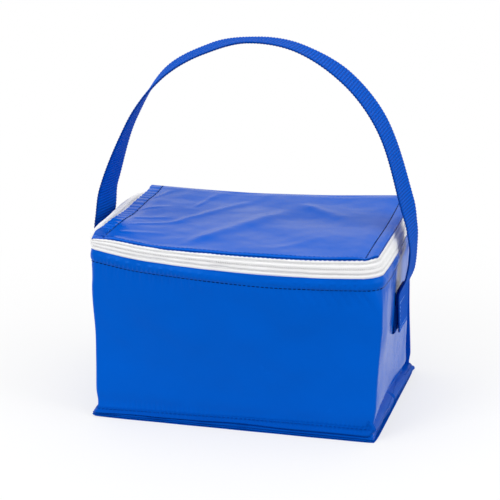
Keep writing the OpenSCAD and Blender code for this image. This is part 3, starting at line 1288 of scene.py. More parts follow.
@dataclass
class Cover:
    """The bag's vinyl: the wrap, the sheet that is both back and lid, and the bottom."""

    form: Form
    wear: Wardrobe
    thick: float = 0.6
    left_chamfer: float = 1.2
    right_chamfer: float = 6.5
    fold: float = 2.0
    bend_low: float = 1.8
    bend_more: float = 8.0
    rounder: Zone = Zone(92.0, 28.0)
    flare: float = 1.3
    flare_top: float = 8.0
    pucker_step: float = 0.52
    hem_groove: float = 0.45
    foot_groove: float = 0.7
    rows: int = 52
    across: int = 230
    lid_rows: int = 150
    back_rows: int = 40
    lid_folds: tuple[Fold, ...] = (
        Fold((-38, -66), (34, 52), 10.0, 1.6), Fold((-61, -22), (-8, 62), 5.5, 0.9),
        Fold((-54, 20), (-44, 66), 3.4, 0.6), Fold((-89, -55), (-46, -40), 4.0, 0.45),
        Fold((-86, -38), (-38, -2), 4.0, 0.6), Fold((-91, -22), (-60, -4), 3.0, 0.5),
        Fold((-91, 33), (-80, 60), 3.0, 0.5), Fold((-92, 5), (-68, 20), 3.0, 0.4),
        Fold((22, 46), (80, 4), 8.0, 0.9), Fold((26, -60), (64, -24), 7.0, 0.4))
    pad: float = 0.8
    pad_side: float = 9.0
    pad_front: float = 2.2
    pad_back: float = 10.0
    seam_deep: float = 0.35
    calm_front: float = 3.5
    dip: float = 1.1
    dip_line: float = 9.0
    dip_reach: tuple[float, float] = (7.0, 20.0)
    dip_left: Zone = Zone(25.0, -60.0)
    soft_left: Zone = Zone(30.0, -60.0)
    mark: float = 0.22
    left_seam: float = -93.2
    right_seam: float = 95.2
    hem_line: float = 112.6
    outline: Array = field(default_factory=lambda: np.zeros((0, 3)))

    def wall(self) -> Object:
        """The wrap round the left side, the front and the right side.

        Returns:
            The finished piece.
        """
        low, high = span("shell_wrap")
        heights = np.linspace(low[2], high[2], self.rows)
        bend = self.bend_low + self.bend_more * self.rounder(heights)
        flare = self.flare * np.clip(1 - heights / self.flare_top, 0, 1) ** 2
        grid = self.form.band(list(zip(heights, bend, flare)), high[1])
        plan = self.form.settle(grid)
        s, z = lengths(plan[:, self.rows // 2])[:, None], grid[..., 2]
        amount = Ripple(3, 95.0, 0.55)(s, z) + Ripple(11, 34.0, 0.13)(s, z)
        amount = (amount + 0.3) * eased(z / 20.0)
        ease = 0.6 + 0.4 * np.sin(s / 23.0)
        under_hem = 0.3 * np.sin(s / self.pucker_step + 2.0 * np.sin(s / 11.0)) * hump(z, 109.6, 1.8)
        drawn = 0.22 * np.sin(s / 1.3 + 2.0 * np.sin(s / 17.0)) * hump(z, 107.0, 5.0)
        above_foot = 0.3 * np.sin(s / 0.6 + 2.0 * np.sin(s / 17.0)) * hump(z, 9.5, 2.5)
        amount = (amount + (under_hem + drawn + above_foot) * ease
                  - self.hem_groove * hump(z, self.hem_line, 0.8)
                  - self.foot_groove * hump(z, 11.0, 5.0))
        piece = skin("cover_wall", swell(plan, amount), self.thick)
        return fit(piece, Body.BAG, self.wear.vinyl, ["shell_wrap"])

    def lid_height(self, x: Array, y: Array) -> Array:
        """How far the padded lid stands above its flat pattern.

        Args:
            x: Where across.
            y: Where from front to back.

        Returns:
            The heights.
        """
        left, right = x - self.left_seam, self.right_seam - x
        front, back = y + self.form.deep, self.form.deep - y
        calm = eased(front / self.calm_front)
        pad = (self.pad * eased(left / self.pad_side) * eased(right / self.pad_side)
               * eased(front / self.pad_front) * eased(back / self.pad_back))
        seams = -self.seam_deep * (hump(x, self.left_seam, 1.1) + hump(x, self.right_seam, 1.1))
        inside = front - self.dip_line
        reach = np.where(inside < 0, *self.dip_reach)
        creases = sum(fold(x, y) for fold in self.lid_folds)
        creases = creases - self.dip * self.dip_left(x) * np.exp(-((inside / reach) ** 2))
        soft = Ripple(21, 60.0, 0.35)(x, y) + Ripple(5, 22.0, 0.08)(x, y) * self.soft_left(x)
        rungs = self.mark * np.sin(y / 1.1 + np.sin(y / 7.0)) * eased((1.5 - left) / 2.0) * calm
        edge = eased((x - self.form.wide + 4.2) / 1.5)
        ticks = self.mark * np.sin((y + x) / 0.62) * edge * calm
        return pad + seams + (creases + soft) * calm + rungs + ticks

    def top_and_back(self) -> Object:
        """The lid and the back, one sheet folded at the top of the back.

        Returns:
            The finished piece.
        """
        form, low = self.form, span("shell_back")[0]
        near, away = -form.deep, form.deep - self.fold
        y = near + (away - near) * np.linspace(0, 1, self.lid_rows)
        bend = np.linspace(0, math.pi / 2, 8)[1:-1]
        down = np.linspace(form.high - self.fold, low[2], self.back_rows)
        profile = np.concatenate([
            spread(y, form.high),
            spread(away + self.fold * np.sin(bend),
                   form.high - self.fold + self.fold * np.cos(bend)),
            spread(form.deep, down)])
        inward, flat = profile[:, 0] - near, profile[:, 1] > form.high / 2
        left = -form.wide + np.clip(self.left_chamfer - 0.1 * inward, 0, None) * flat
        right = form.wide - np.clip(self.right_chamfer - inward, 0, None) * flat
        share = np.linspace(0, 1, self.across)[:, None]
        grid = spread(left + (right - left) * share, profile[:, 0], profile[:, 1])
        edge = grid[:, :self.lid_rows]
        self.outline = np.concatenate([edge[0, ::-1], edge[1:-1, 0], edge[-1]])
        on_lid = eased((away - grid[..., 1]) / 4.0) * (grid[..., 2] > form.high - 1.0)
        on_back = eased((form.high - 4.0 - grid[..., 2]) / 12.0)
        amount = self.lid_height(grid[..., 0], grid[..., 1]) * on_lid
        amount = amount + Ripple(31, 80.0, 0.5)(grid[..., 0], grid[..., 2]) * on_back
        piece = skin("cover_lid_and_back", swell(form.settle(grid), amount), self.thick)
        piece.data.materials.append(self.wear.vinyl)
        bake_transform(piece)
        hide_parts("shell_back", "lid_panel")
        log.info("%s: %d faces between bag and lid", piece.name, len(piece.data.polygons))
        return piece

    def bottom(self) -> Object:
        """The bottom sheet, whose edge is the lowest layer of the flange.

        Returns:
            The finished piece.
        """
        low, high = span("shell_base")
        u, v = np.linspace(-1, 1, 90)[:, None], np.linspace(-1, 1, 60)[None, :]
        corner = 1 - 0.012 * (np.abs(u) ** 12) * (np.abs(v) ** 12)
        x, y = high[0] * u * corner, high[1] * v * corner
        z = high[2] - 0.1 + 0.05 * np.sin(x / 7.0) * np.sin(y / 9.0)
        piece = skin("cover_bottom", spread(x, y, z), self.thick - 0.15)
        # The bottom, the flange's lowest layer, takes the darker copy of the vinyl: painted shade.
        return fit(piece, Body.BAG, self.wear.shaded_vinyl, ["shell_base"])

    def build(self) -> dict[str, Object]:
        """Builds the three sheets."""
        return {"wall": self.wall(), "top": self.top_and_back(), "bottom": self.bottom()}


# ---- sewn edges


@dataclass
class Edges:
    """The sewn edges: the flange round the bottom, the hems of rim, back and lid."""

    form: Form
    wear: Wardrobe
    side_roll: Run = Run((0.0, 0.07, 0.15, 0.23, 0.38, 0.55, 0.72, 0.85, 0.93, 1.0),
                    (0.0, -1.0, -1.8, -0.3, 2.3, 2.8, 2.0, -0.9, -1.2, 0.0), 0.025)
    side_sharp: int = 50
    outer_rows: int = 20
    pucker_step: float = 0.52
    pleat: float = 1.5
    pleat_at: float = -3.0
    rolls_from: float = 2.6
    rear_in: float = 8.9
    front_in: float = 2.2
    reach: float = 73.0
    corner_out: float = 0.012
    crease_at: float = 0.688

    def flange(self) -> Object:
        """The layers sewn together round the bottom.

        Returns:
            The finished piece.
        """
        high = span("base_binding")[1]
        out = high[0] - self.form.wide
        turned = ((0.7, 1.5, 1.5), (1.2, 1.5, 2.1), (1.5, 1.5, 1.9), (1.7, 1.5, 0.5),
                  (2.0, 1.5, 0.6), (2.3, 1.5, 1.8), (2.9, 1.5, 2.0), (3.3, 1.5, 1.7),
                  (3.5, 1.5, 0.3), (3.8, 1.8, 0.4), (4.1, 1.8, 1.6), (4.6, 1.8, 2.2),
                  (5.1, 1.8, 2.3), (5.5, 1.8, 2.0), (5.9, 1.8, 1.5), (6.4, 1.8, 0.95),
                  (6.9, 1.8, 0.6), (7.4, 1.8, 0.45), (7.9, 1.8, 0.45), (8.5, 1.8, 0.4),
                  (high[2], 1.8, 0.05), (8.0, 1.8, -0.3), (4.0, 1.8, -0.2), (0.9, 1.5, 0.4))
        grid = self.form.band(turned, self.form.deep + out, closed=True)
        s = lengths(grid[:, 5])[:, None]
        rows = np.array([row[0] for row in turned])[None, :]
        outer = (np.arange(len(turned)) < self.outer_rows)[None, :]
        step = self.pucker_step
        pucker = 0.3 * np.sin(s / step + np.sin(s / 9.0)) * hump(rows, 7.0, 1.6) * outer
        wave = 0.45 * np.sin(s / 9.0 + 2 * np.sin(s / 31.0)) * hump(rows, 3.0, 3.0) * outer
        normal = facing(grid)
        normal[..., 2] = 0.0
        shaped = grid + normal * (pucker + wave)[..., None]
        uneven = 0.5 * np.sin(s / 37.0 + 1.0) + 0.3 * np.sin(s / 12.0)
        shaped[..., 2] += uneven * hump(rows, 4.5, 1.5) * outer
        x, y, z = grid[..., 0], grid[..., 1], grid[..., 2]
        up = np.clip((z - self.rolls_from) / (high[2] - self.rolls_from), 0, 1)
        side = np.clip(x / self.form.wide, 0, 1) ** self.side_sharp
        roll = self.side_roll(up) * outer
        fold = -self.pleat * hump(y, self.pleat_at, 1.4) * np.sin(np.pi * up)
        forward = np.clip((self.reach - y) / (2 * self.reach), 0, 1)
        shaped[..., 2] += up * (side * (self.form.foot_high(y) - high[2])
                                + (1 - side) * self.form.front_lift(x, y))
        shaped[..., 0] += side * (fold + roll - self.form.foot_in(y) * up
                                  - self.rear_in * up * self.form.rear(y)
                                  - self.front_in * forward)
        corner = np.clip((np.abs(x) / self.form.wide) ** 24 * (np.abs(y) / self.form.deep) ** 16, 0, 1)
        shaped[..., :2] *= 1 + self.corner_out * (corner * hump(rows, 1.5, 2.5))[..., None]
        piece = loop("seam_flange", shaped)
        # The flange takes the darker copy of the vinyl, which paints its shade.
        return fit(piece, Body.BAG, self.wear.shaded_vinyl, ["base_binding"])

    def rim_hem(self) -> Object:
        """The turned-down hem at the top of the wrap.

        Returns:
            The finished piece.
        """
        low, high = span("rim_hem")
        out = high[0] - self.form.wide
        heights = np.linspace(low[2] + 0.7, high[2] + 0.1, 16)
        share = (heights - heights[0]) / (heights[-1] - heights[0])
        proud = 0.3 + (out + 0.2) * np.sin(np.pi * np.clip(share, 0.0, 0.92) ** 0.7)
        grid = self.form.band(list(zip(heights, 10.0 + 0 * heights, proud)), high[1])
        plan = self.form.settle(grid)
        s = lengths(plan[:, 6])[:, None]
        ease = 0.6 + 0.4 * np.sin(s / 23.0)
        stitched = np.sin(s / self.pucker_step + 2.0 * np.sin(s / 11.0))
        pucker = 0.32 * ease * stitched * hump(heights, low[2] + 2.6, 1.5)
        drawn = hump(np.sin(s / 1.15 + 3.0 * np.sin(s / 19.0)), 1.0, 0.6)
        pucker = pucker + 0.5 * ease * drawn * hump(heights, low[2] + 5.4, 0.9)
        middle = np.sin(np.pi * share)
        crease = -0.7 * hump(s, s[-1, 0] * self.crease_at, 1.6) * middle
        wave = 0.25 * np.sin(s / 8.0 + 2 * np.sin(s / 23.0)) * middle
        thick = 0.12 + 0.5 * np.sin(np.pi * np.clip(share, 0.06, 0.94))
        piece = skin("hem_rim", swell(plan, pucker + crease + wave), thick)
        return fit(piece, Body.BAG, self.wear.vinyl, ["rim_hem"])

    def rear_hem(self, side: int) -> Object:
        """The seam allowance at one back corner, flaring out towards the bottom.

        Args:
            side: -1 for the left, 1 for the right.

        Returns:
            The finished piece.
        """
        name = side_name(side)
        low, high = span("rear_hem_" + name)
        heights = np.linspace(high[2], low[2] - 5.0, 90)[None, :]
        share = np.linspace(0, 1, 12)[:, None]
        fall = 1 - heights / high[2]
        inner, outer = self.form.wide - 11.0, self.form.wide - 0.4 + 0.4 * fall
        x = inner + (outer - inner) * share
        y = low[1] + 0.25 + 0.35 * share**2 * np.sin(heights / 9.0) + 0 * fall
        grid = spread(side * x, y, heights)
        if side < 0:
            grid = grid[::-1]
        grid = self.form.settle(grid)
        ridge = 0.18 * np.sin(heights / 0.6) * hump(share, 0.55, 0.2)
        piece = skin("hem_rear_" + name, swell(grid, ridge + 0.3), 0.9)
        return fit(piece, Body.BAG, self.wear.vinyl, ["rear_hem_" + name])

    def lid_hem(self, outline: Array) -> Object:
        """The hem turned under the lid's two sides and front.

        Args:
            outline: The lid's edge on the square pattern, from the left side's back round.

        Returns:
            The finished piece.
        """
        high = span("lid_hem")[1]
        way = np.gradient(outline[:, :2], axis=0)
        way = np.stack([np.convolve(np.pad(way[:, k], 4, mode="edge"), np.ones(9) / 9, "valid")
                        for k in (0, 1)], axis=1)
        way = unit(way)
        inward = np.stack([-way[:, 1], way[:, 0]], axis=1)
        steps = np.linspace(0.1, -8.0, 9)
        s = lengths(outline)[:, None]
        scallop = 0.22 * np.sin(s / self.pucker_step) * hump(steps, 0.0, 1.2)
        plan = outline[:, None, :2] - inward[:, None] * (steps + 0 * s + scallop)[..., None]
        height = high[2] - 0.05 + 0 * plan[..., :1]
        grid = self.form.settle(np.concatenate([plan, height], axis=2))
        grid[..., 2] -= 0.25 + scallop
        piece = skin("hem_lid", grid, 0.6)
        # The hem under the lid takes the darker copy of the vinyl: painted shade.
        return fit(piece, Body.LID, self.wear.shaded_vinyl, ["lid_hem"])

    def build(self, outline: Array) -> dict[str, Object]:
        """Builds the edges; the lid's outline is given on the square pattern."""
        return {"flange": self.flange(), "rim": self.rim_hem(), "rear_left": self.rear_hem(-1),
                "rear_right": self.rear_hem(1), "lid": self.lid_hem(outline)}


def loop(name: str, rings: Array) -> Object:
    """A ring closed both ways: round the bag, and round its own profile.

    Args:
        name: The piece's name.
        rings: The grid, n x m x 3.

    Returns:
        The object.
    """
    n, m = rings.shape[:2]
    index = np.arange(n * m).reshape(n, m)
    onward, beside = np.roll(index, -1, axis=0), np.roll(index, -1, axis=1)
    faces = np.stack([index, onward, np.roll(onward, -1, axis=1), beside], axis=-1).reshape(-1, 4)
    lie = spread(lengths(rings[:, 0])[:, None], lengths(rings[0])).reshape(-1, 2)
    return mesh_piece(name, rings.reshape(-1, 3), faces, lie, 75.0)


# ---- zip


@dataclass
class Zip:
    """The zip round the lid: two tapes, their teeth, and the tabs at the ends."""

    form: Form
    wear: Wardrobe
    sewing: Sewing
    bend: float = 12.0
    slit: float = 127.8
    short: float = 0.8
    pitch: float = 1.3
    tooth: tuple[float, float, float] = (0.75, 1.9, 1.0)
    flare_turn: float = 95.0
    flare: Run = Run((-70, -63, -54, -32, -10, 15, 40, 55, 65, 70),
                (0.0, 0.0, 0.4, 0.6, 0.75, 0.85, 0.75, 0.55, 0.3, 0.1), 3.0)

    def rows(self, upper: bool) -> list[tuple[float, float, float]]:
        """A tape's height, corner radius and stand-off, row by row.

        Args:
            upper: Whether it is the lid's.

        Returns:
            The rows, upwards.
        """
        low, high = span("zip_tape_upper" if upper else "zip_tape_lower")
        table = ((low[2] - 0.3, 0.3), (128.6, 0.75), (129.1, 0.95), (129.9, 0.98), (130.5, 0.6),
                 (130.8, 0.0), (131.2, -0.6), (131.7, -0.55), (132.1, 0.1), (132.6, 0.5),
                 (133.5, 0.5), (134.1, 0.2), (high[2], -0.4)) if upper else (
                     (low[2], -0.7), (119.0, -0.6), (120.8, 0.0), (121.6, 0.4), (122.4, 0.5),
                     (123.0, 0.3), (123.4, -0.3), (123.9, -0.5), (124.3, 0.0), (124.8, 0.7),
                     (125.6, 0.98), (126.4, 0.95), (126.9, 0.75), (high[2] + 0.3, 0.3))
        return [(z, self.bend, out) for z, out in table]

    def opened(self, grid: Array, sewn: float) -> Array:
        """Turns the left side's upper tape out about the line where it is sewn to the lid.

        Args:
            grid: Places on the square pattern.
            sewn: The height of that line.

        Returns:
            The turned places.
        """
        x, y, z = grid[..., 0], grid[..., 1], grid[..., 2]
        left = x < -self.form.wide + 6.0
        turn = np.radians(self.flare_turn) * self.flare(y) * left
        down, out = sewn - z, -self.form.wide - x
        curl = turn * (0.75 + 0.5 * np.clip(down / 6.0, 0, 1))
        across = out * np.cos(curl) + down * np.sin(curl)
        drop = down * np.cos(curl) - out * np.sin(curl)
        return np.stack([np.where(left, -self.form.wide - across, x), y,
                         np.where(left, sewn - drop, z)], axis=-1)

    def tape(self, upper: bool) -> Object:
        """One tape.

        Args:
            upper: Whether it is the lid's.

        Returns:
            The finished piece.
        """
        rows = self.rows(upper)
        node = "zip_tape_upper" if upper else "zip_tape_lower"
        high = span(node)[1]
        grid = self.form.band(rows, self.form.deep - self.short)
        if upper:
            grid = self.opened(grid, high[2])
        plan = self.form.settle(grid)
        s = lengths(plan[:, 4])[:, None]
        z = np.array([row[0] for row in rows])[None, :]
        front = eased((grid[..., 1] + 60.0) / -4.0)
        wave = Ripple(41, 26.0, 0.22)(s, z) * hump(z, 131.5 if upper else 123.5, 3.0) * front
        y, right = grid[..., 1], grid[..., 0] > 0
        fold = np.where(right, -2.1 * hump(y - 0.5 * (z - 128.0), 31.0, 3.0), 0.0)
        wave = wave + fold * hump(z, 127.8, 5.0) * (0.6 if upper else 1.0)
        piece = skin("zip_tape_" + ("lid" if upper else "bag"), swell(plan, wave), 0.5)
        return fit(piece, Body.LID if upper else Body.BAG, self.wear.tape, [node])

    def teeth(self, upper: bool) -> Object:
        """One tape's teeth, half a step on from the other's.

        Args:
            upper: Whether they are the lid's.

        Returns:
            The finished piece.
        """
        node = "zip_coil_upper" if upper else "zip_coil_lower"
        high = span(node)[1]
        height = self.slit + (0.35 if upper else -0.35)
        rows = [(height, self.bend, 0.5), (height + 1.0, self.bend, 0.5)]
        grid = self.form.band(rows, high[1] - (self.pitch / 2 if upper else 0.0))
        if upper:
            grid = self.opened(grid, span("zip_tape_upper")[1][2])
        plan = self.form.settle(grid)
        piece = self.sewing.row("zip_teeth_" + ("lid" if upper else "bag"), plan[:, 0],
                                facing(plan)[:, 0], self.pitch, self.tooth, self.wear.coil)
        return fit(piece, Body.LID if upper else Body.BAG, self.wear.coil, [node])

    def seams(self) -> None:
        """The two rows that hold the tapes, seen as dotted lines along them."""
        for name, z, out, body in (("bag", 123.9, 0.28, Body.BAG), ("lid", 131.4, 0.2, Body.LID)):
            high = span("zip_tape_upper")[1]
            grid = self.form.band([(z, self.bend, out), (z + 1.0, self.bend, out)], high[1] - 1.0)
            if body is Body.LID:
                grid = self.opened(grid, high[2])
            plan = self.form.settle(grid)
            row = self.sewing.row("zip_stitches_" + name, plan[:, 0], facing(plan)[:, 0], 2.6,
                                  (1.9, 0.35, 0.3), self.wear.white_thread)
            fit(row, body, self.wear.white_thread)

    def tab(self, side: int) -> Object:
        """The tab that covers the tape's end on one side.

        Args:
            side: -1 for the left, 1 for the right.

        Returns:
            The finished piece.
        """
        name = side_name(side)
        low, high = span("zip_tab_" + name)
        y, z = np.linspace(low[1], high[1], 14)[:, None], np.linspace(low[2], high[2], 16)[None, :]
        edge = np.minimum(np.minimum(y - low[1], high[1] - y), np.minimum(z - low[2], high[2] - z))
        x = side * (self.form.wide + 0.75 + 0.35 * eased(edge / 1.5))
        grid = spread(x, y, z)
        grid = self.form.settle(grid if side > 0 else grid[::-1])
        piece = skin("zip_tab_cover_" + name, grid, 0.55)
        return fit(piece, Body.BAG, self.wear.vinyl, ["zip_tab_" + name])

    def hardware(self) -> None:
        """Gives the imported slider, pull and stops their enamel and plastic."""
        for node in ("zip_slider", "zip_pull", "zip_stop_left", "zip_stop_right"):
            coat = self.wear.coil if "stop" in node else self.wear.slider
            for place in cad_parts[node].material_slots:
                place.material = coat

    def build(self) -> None:
        """Builds the zip."""
        for upper in (False, True):
            self.tape(upper)
            self.teeth(upper)
        self.seams()
        for side in (-1, 1):
            self.tab(side)
        self.hardware()


# ---- handle

# across as a share of the foot's distance, from front to back as a share of the webbing's width,
# height above the hinge as a share of the handle's rise, twist in degrees
ROUTE = ((-1.000, 0.00, -0.090, 0), (-1.010, 0.00, 0.050, 0), (-1.070, 0.02, 0.125, -5),
         (-1.097, 0.03, 0.230, -10), (-1.083, 0.04, 0.300, -10), (-1.055, 0.05, 0.400, -8),
         (-0.870, 0.07, 0.670, 2), (-0.640, 0.07, 0.855, 10), (-0.325, 0.07, 0.960, 5),
         (-0.010, 0.07, 1.000, -4), (0.300, 0.07, 0.975, -4), (0.620, 0.10, 0.865, 1),
         (0.855, 0.13, 0.685, 3), (1.018, 0.13, 0.390, 6), (1.052, 0.10, 0.300, 2),
         (1.063, 0.07, 0.220, -1), (1.045, 0.02, 0.125, 1), (1.000, 0.00, 0.050, 2),
         (1.000, 0.00, -0.090, 0))


@dataclass
class Handle:
    """The carrying strap, its sewn feet, and the flexing pads between them."""

    form: Form
    wear: Wardrobe
    sewing: Sewing
    foot_x: float = 108.3
    hinge: tuple[float, float] = (5.0, 77.0)
    rise: float = 188.5
    width: float = 30.0
    thick: float = 1.6
    rib: float = 2.3
    rib_deep: float = 0.34
    steps: int = 60
    step: float = 0.5
    face_steps: int = 25
    fold_steps: int = 17
    box_half: float = 12.4
    box_top: float = 82.0

    def line(self) -> tuple[Array, Array]:
        """The strap's middle line and twist, as in the part's source.

        Returns:
            The places, and the twist in radians at each.
        """
        knots = np.array([(self.foot_x * r[0], self.hinge[0] + r[1] * self.width,
                           self.hinge[1] + r[2] * self.rise) for r in ROUTE])
        twist = np.radians([r[3] for r in ROUTE])
        gaps = np.linalg.norm(np.diff(knots, axis=0), axis=1)
        heading = np.zeros_like(knots)
        heading[1:-1] = (knots[2:] - knots[:-2]) / (gaps[1:] + gaps[:-1])[:, None]
        heading[:2], heading[-2:] = (0, 0, 1), (0, 0, -1)
        places, turns = [], []
        for k, gap in enumerate(gaps):
            t = np.linspace(0, 1, self.steps, endpoint=k == len(gaps) - 1)[:, None]
            places.append((2 * t**3 - 3 * t**2 + 1) * knots[k] + (t**3 - 2 * t**2 + t) * gap
                          * heading[k] + (3 * t**2 - 2 * t**3) * knots[k + 1]
                          + (t**3 - t**2) * gap * heading[k + 1])
            turns.append(twist[k] + (twist[k + 1] - twist[k]) * eased(t[:, 0]))
        line, turn = np.concatenate(places), np.concatenate(turns)
        run = lengths(line)
        even = np.linspace(0, run[-1], int(run[-1] / self.step))
        return (np.stack([np.interp(even, run, line[:, k]) for k in range(3)], axis=1),
                np.interp(even, run, turn))

    def rings(self) -> tuple[Array, Array, Array, Array]:
        """The strap's smooth tube.

        Returns:
            The rings, and the distance along, the distance across and the outward direction of
            each of their points.
        """
        places, twist = self.line()
        along = unit(np.gradient(places, axis=0))
        level = unit(np.array([0, 1, 0]) - along[:, 1:2] * along)
        normal = np.cross(along, level)
        turn = twist[:, None]
        across = np.cos(turn) * level + np.sin(turn) * normal
        face = np.cross(along, across)
        share = np.linspace(-1, 1, self.face_steps)
        share = np.sign(share) * (1 - (1 - np.abs(share)) ** 1.15)
        across_it, sign, round_off = section(share, 10)
        aside = across_it * (self.width / 2 - 0.3)
        depth = (self.thick / 2 - self.rib_deep / 2) * (0.25 + 0.75 * round_off)
        cup = 0.5 * (aside / self.width * 2) ** 2
        rings = (places[:, None] + across[:, None] * aside[None, :, None]
                 + face[:, None] * (sign * depth + cup - 0.2)[None, :, None])
        out = face[:, None] * sign[None, :, None] + 0 * rings
        run = lengths(places)[:, None] + 0 * aside[None, :]
        return rings, run, np.broadcast_to(aside[None, :], run.shape), out

    def ribs(self) -> NodeTree:
        """Raises the weave's ribs, scallops the strap's edges, and marks grooves and edges for painted
        shade.

        Returns:
            The tree.
        """
        tree, given, made = group(
            "strap_ribs", {"Strap": "Geometry", "Rib": "Float", "Depth": "Float",
                           "Half width": "Float", "Finish": "Material"},
            {"Strap": "Geometry"}, "GeometryNodeTree")
        kinds = {"along": "FLOAT", "across": "FLOAT", "out": "FLOAT_VECTOR", "side": "FLOAT_VECTOR"}
        read = {label: fed(tree, "GeometryNodeInputNamedAttribute", {"Name": label}, data_type=kind)
                for label, kind in kinds.items()}
        phase = maths(tree, "DIVIDE", read["along"], given["Rib"])
        wave = maths(tree, "SINE", maths(tree, "MULTIPLY", phase, 2 * math.pi))
        bite = maths(tree, "POWER", maths(tree, "MULTIPLY_ADD", wave, 0.5, 0.5), 0.8)
        across = maths(tree, "ABSOLUTE", read["across"])
        share = maths(tree, "DIVIDE", across, given["Half width"])
        scallop = maths(tree, "MULTIPLY", maths(tree, "POWER", share, 14.0), bite)
        moves = []
        for way, amount in (("out", bite), ("side", scallop)):
            deep = maths(tree, "MULTIPLY", amount, given["Depth"])
            moves.append(fed(tree, "ShaderNodeVectorMath", {0: read[way], "Scale": deep},
                             operation="SCALE"))
        both = fed(tree, "ShaderNodeVectorMath", dict(enumerate(moves)), operation="ADD")
        # Painted shade: this mask falls in the grooves and at the strap's two edges, which the finish
        # paints darker.
        rim = maths(tree, "SUBTRACT", 1.0, maths(tree, "POWER", share, 22.0))
        light = maths(tree, "MULTIPLY", maths(tree, "MULTIPLY_ADD", bite, 0.55, 0.45), rim)
        keep = fed(tree, "GeometryNodeStoreNamedAttribute",
                   {"Geometry": given["Strap"], "Name": "rib", "Value": light},
                   data_type="FLOAT", domain="POINT")
        move = fed(tree, "GeometryNodeSetPosition", {"Geometry": keep, "Offset": both})
        real = fed(tree, "GeometryNodeRealizeInstances", {"Geometry": move})
        paint = fed(tree, "GeometryNodeSetMaterial",
                    {"Geometry": real, "Material": given["Finish"]})
        feed(made, {"Strap": paint})
        return tree

    def woven(self, name: str, rings: Array, along: Array, across: Array,
              out: Array, tree: NodeTree) -> Object:
        """Turns a smooth flat tube into ribbed webbing.

        Args:
            name: The piece's name.
            rings: The tube.
            along: The distance along at each point, in millimetres.
            across: The distance across at each point.
            out: The outward direction at each point.
            tree: The ribs' tree.

        Returns:
            A plain mesh object.
        """
        smooth = tube(name + "_smooth", rings)
        sideways = np.roll(rings, -1, axis=1) - rings
        sideways[:, -1] = sideways[:, -2]
        sideways = unit(sideways)
        half = rings.shape[1] // 2
        sideways[:, half:] *= -1
        sideways[:, half - 1] = sideways[:, half - 2]
        side = sideways * np.sign(across)[..., None]
        for label, kind, values in (("along", "FLOAT", along * MM), ("across", "FLOAT", across * MM),
                                    ("out", "FLOAT_VECTOR", out), ("side", "FLOAT_VECTOR", side)):
            mark = smooth.data.attributes.new(label, kind, "POINT")
            mark.data.foreach_set("value" if kind == "FLOAT" else "vector",
                                  values.astype(np.float32).ravel())
        return plain(smooth, tree, {"Rib": self.rib * MM, "Depth": self.rib_deep * MM,
                                    "Half width": self.width / 2 * MM,
                                    "Finish": self.wear.webbing}, name)

    def strap(self, tree: NodeTree) -> Object:
        """The carrying strap."""
        piece = self.woven("strap", *self.rings(), tree)
        return fit(piece, Body.HANDLE, self.wear.webbing, ["handle_webbing"])

    def folded(self, side: int, inner: float, outer: float, low: float, high: float,
               half: float) -> tuple[Array, ...]:
        """A strip of webbing folded up on itself at its lower end.

        Args:
            side: -1 for the left, 1 for the right.
            inner: The distance of the inner layer's middle from the bag's middle.
            outer: The same for the outer layer.
            low: The height of the fold.
            high: The height of the two ends.
            half: Half its width.

        Returns:
            The rings, along, across and outward directions, as for the strap.
        """
        bend = (outer - inner) / 2
        down = np.linspace(high, low + bend, 30)
        turn = np.linspace(0, math.pi, 14)[1:-1]
        path = np.concatenate([
            spread(inner, down),
            spread(inner + bend - bend * np.cos(turn), low + bend - bend * np.sin(turn)),
            spread(outer, down[::-1])])
        way = unit(np.gradient(path, axis=0))
        face = np.stack([-way[:, 1], way[:, 0]], axis=1)
        across_it, sign, edge = section(np.linspace(-1, 1, self.fold_steps), 8)
        aside = across_it * half
        depth = sign * (bend * 0.86) * (0.3 + 0.7 * edge)
        x = path[:, :1] + face[:, :1] * depth
        z = path[:, 1:] + face[:, 1:] * depth
        rings = spread(side * x, self.hinge[0] + aside, z)
        out = spread(side * face[:, :1] * sign, 0.0, face[:, 1:] * sign)
        run = lengths(path)[:, None] + 0 * x
        across = aside[None, :] + 0 * x
        if side > 0:
            return rings[:, ::-1], run, across[:, ::-1], out[:, ::-1]
        return rings, run, across, out

    def foot(self, side: int, tree: NodeTree) -> None:
        """The folded patch on the wall, the pad that flexes, and their stitches.

        Args:
            side: -1 for the left, 1 for the right.
            tree: The ribs' tree.
        """
        name = side_name(side)
        low, high = span("handle_patch_" + name)
        inner, outer = (min(abs(low[0]), abs(high[0])), max(abs(low[0]), abs(high[0])))
        layer = (outer - inner) / 4
        fold = self.folded(side, inner + layer, outer - layer, low[2] + 2.0, high[2],
                           self.width / 2 - 0.2)
        patch = self.woven("patch_" + name, *fold, tree)
        fit(patch, Body.BAG, self.wear.webbing, ["handle_patch_" + name])
        low, high = span("handle_flex_" + name)
        turn = np.linspace(0, 2 * math.pi, 64, endpoint=False)[:, None]
        reach = np.array([0.0, 0.35, 0.7, 0.9, 0.985, 1.0, 1.0, 0.985, 0.9, 0.7, 0.35, 0.0])[None, :]
        rise = np.array([1.0, 1, 1, 0.98, 0.8, 0.4, -0.4, -0.8, -0.98, -1, -1, -1])[None, :]
        middle, half = (low + high) / 2, (high - low) / 2
        square = (np.abs(np.cos(turn)) ** 7 + np.abs(np.sin(turn)) ** 7) ** (-1 / 7)
        radius = half[1] * reach * square
        grid = spread(middle[0] + side * half[0] * rise, middle[1] + radius * np.cos(turn),
                      middle[2] + radius * np.sin(turn))
        index = np.arange(grid.shape[0] * grid.shape[1]).reshape(grid.shape[:2])
        beside = np.roll(index, -1, axis=0)
        faces = np.stack([index[:, :-1], beside[:, :-1], beside[:, 1:], index[:, 1:]],
                         axis=-1).reshape(-1, 4)
        if side > 0:
            faces = faces[:, ::-1]
        lie = np.stack([grid[..., 1], grid[..., 2]], axis=-1).reshape(-1, 2)
        pad = mesh_piece("flex_pad_" + name, grid.reshape(-1, 3), faces, lie, 60.0)
        merge(pad)
        fit(pad, Body.TURN, self.wear.pad, ["handle_flex_" + name])
        self.box_of_stitches(side)

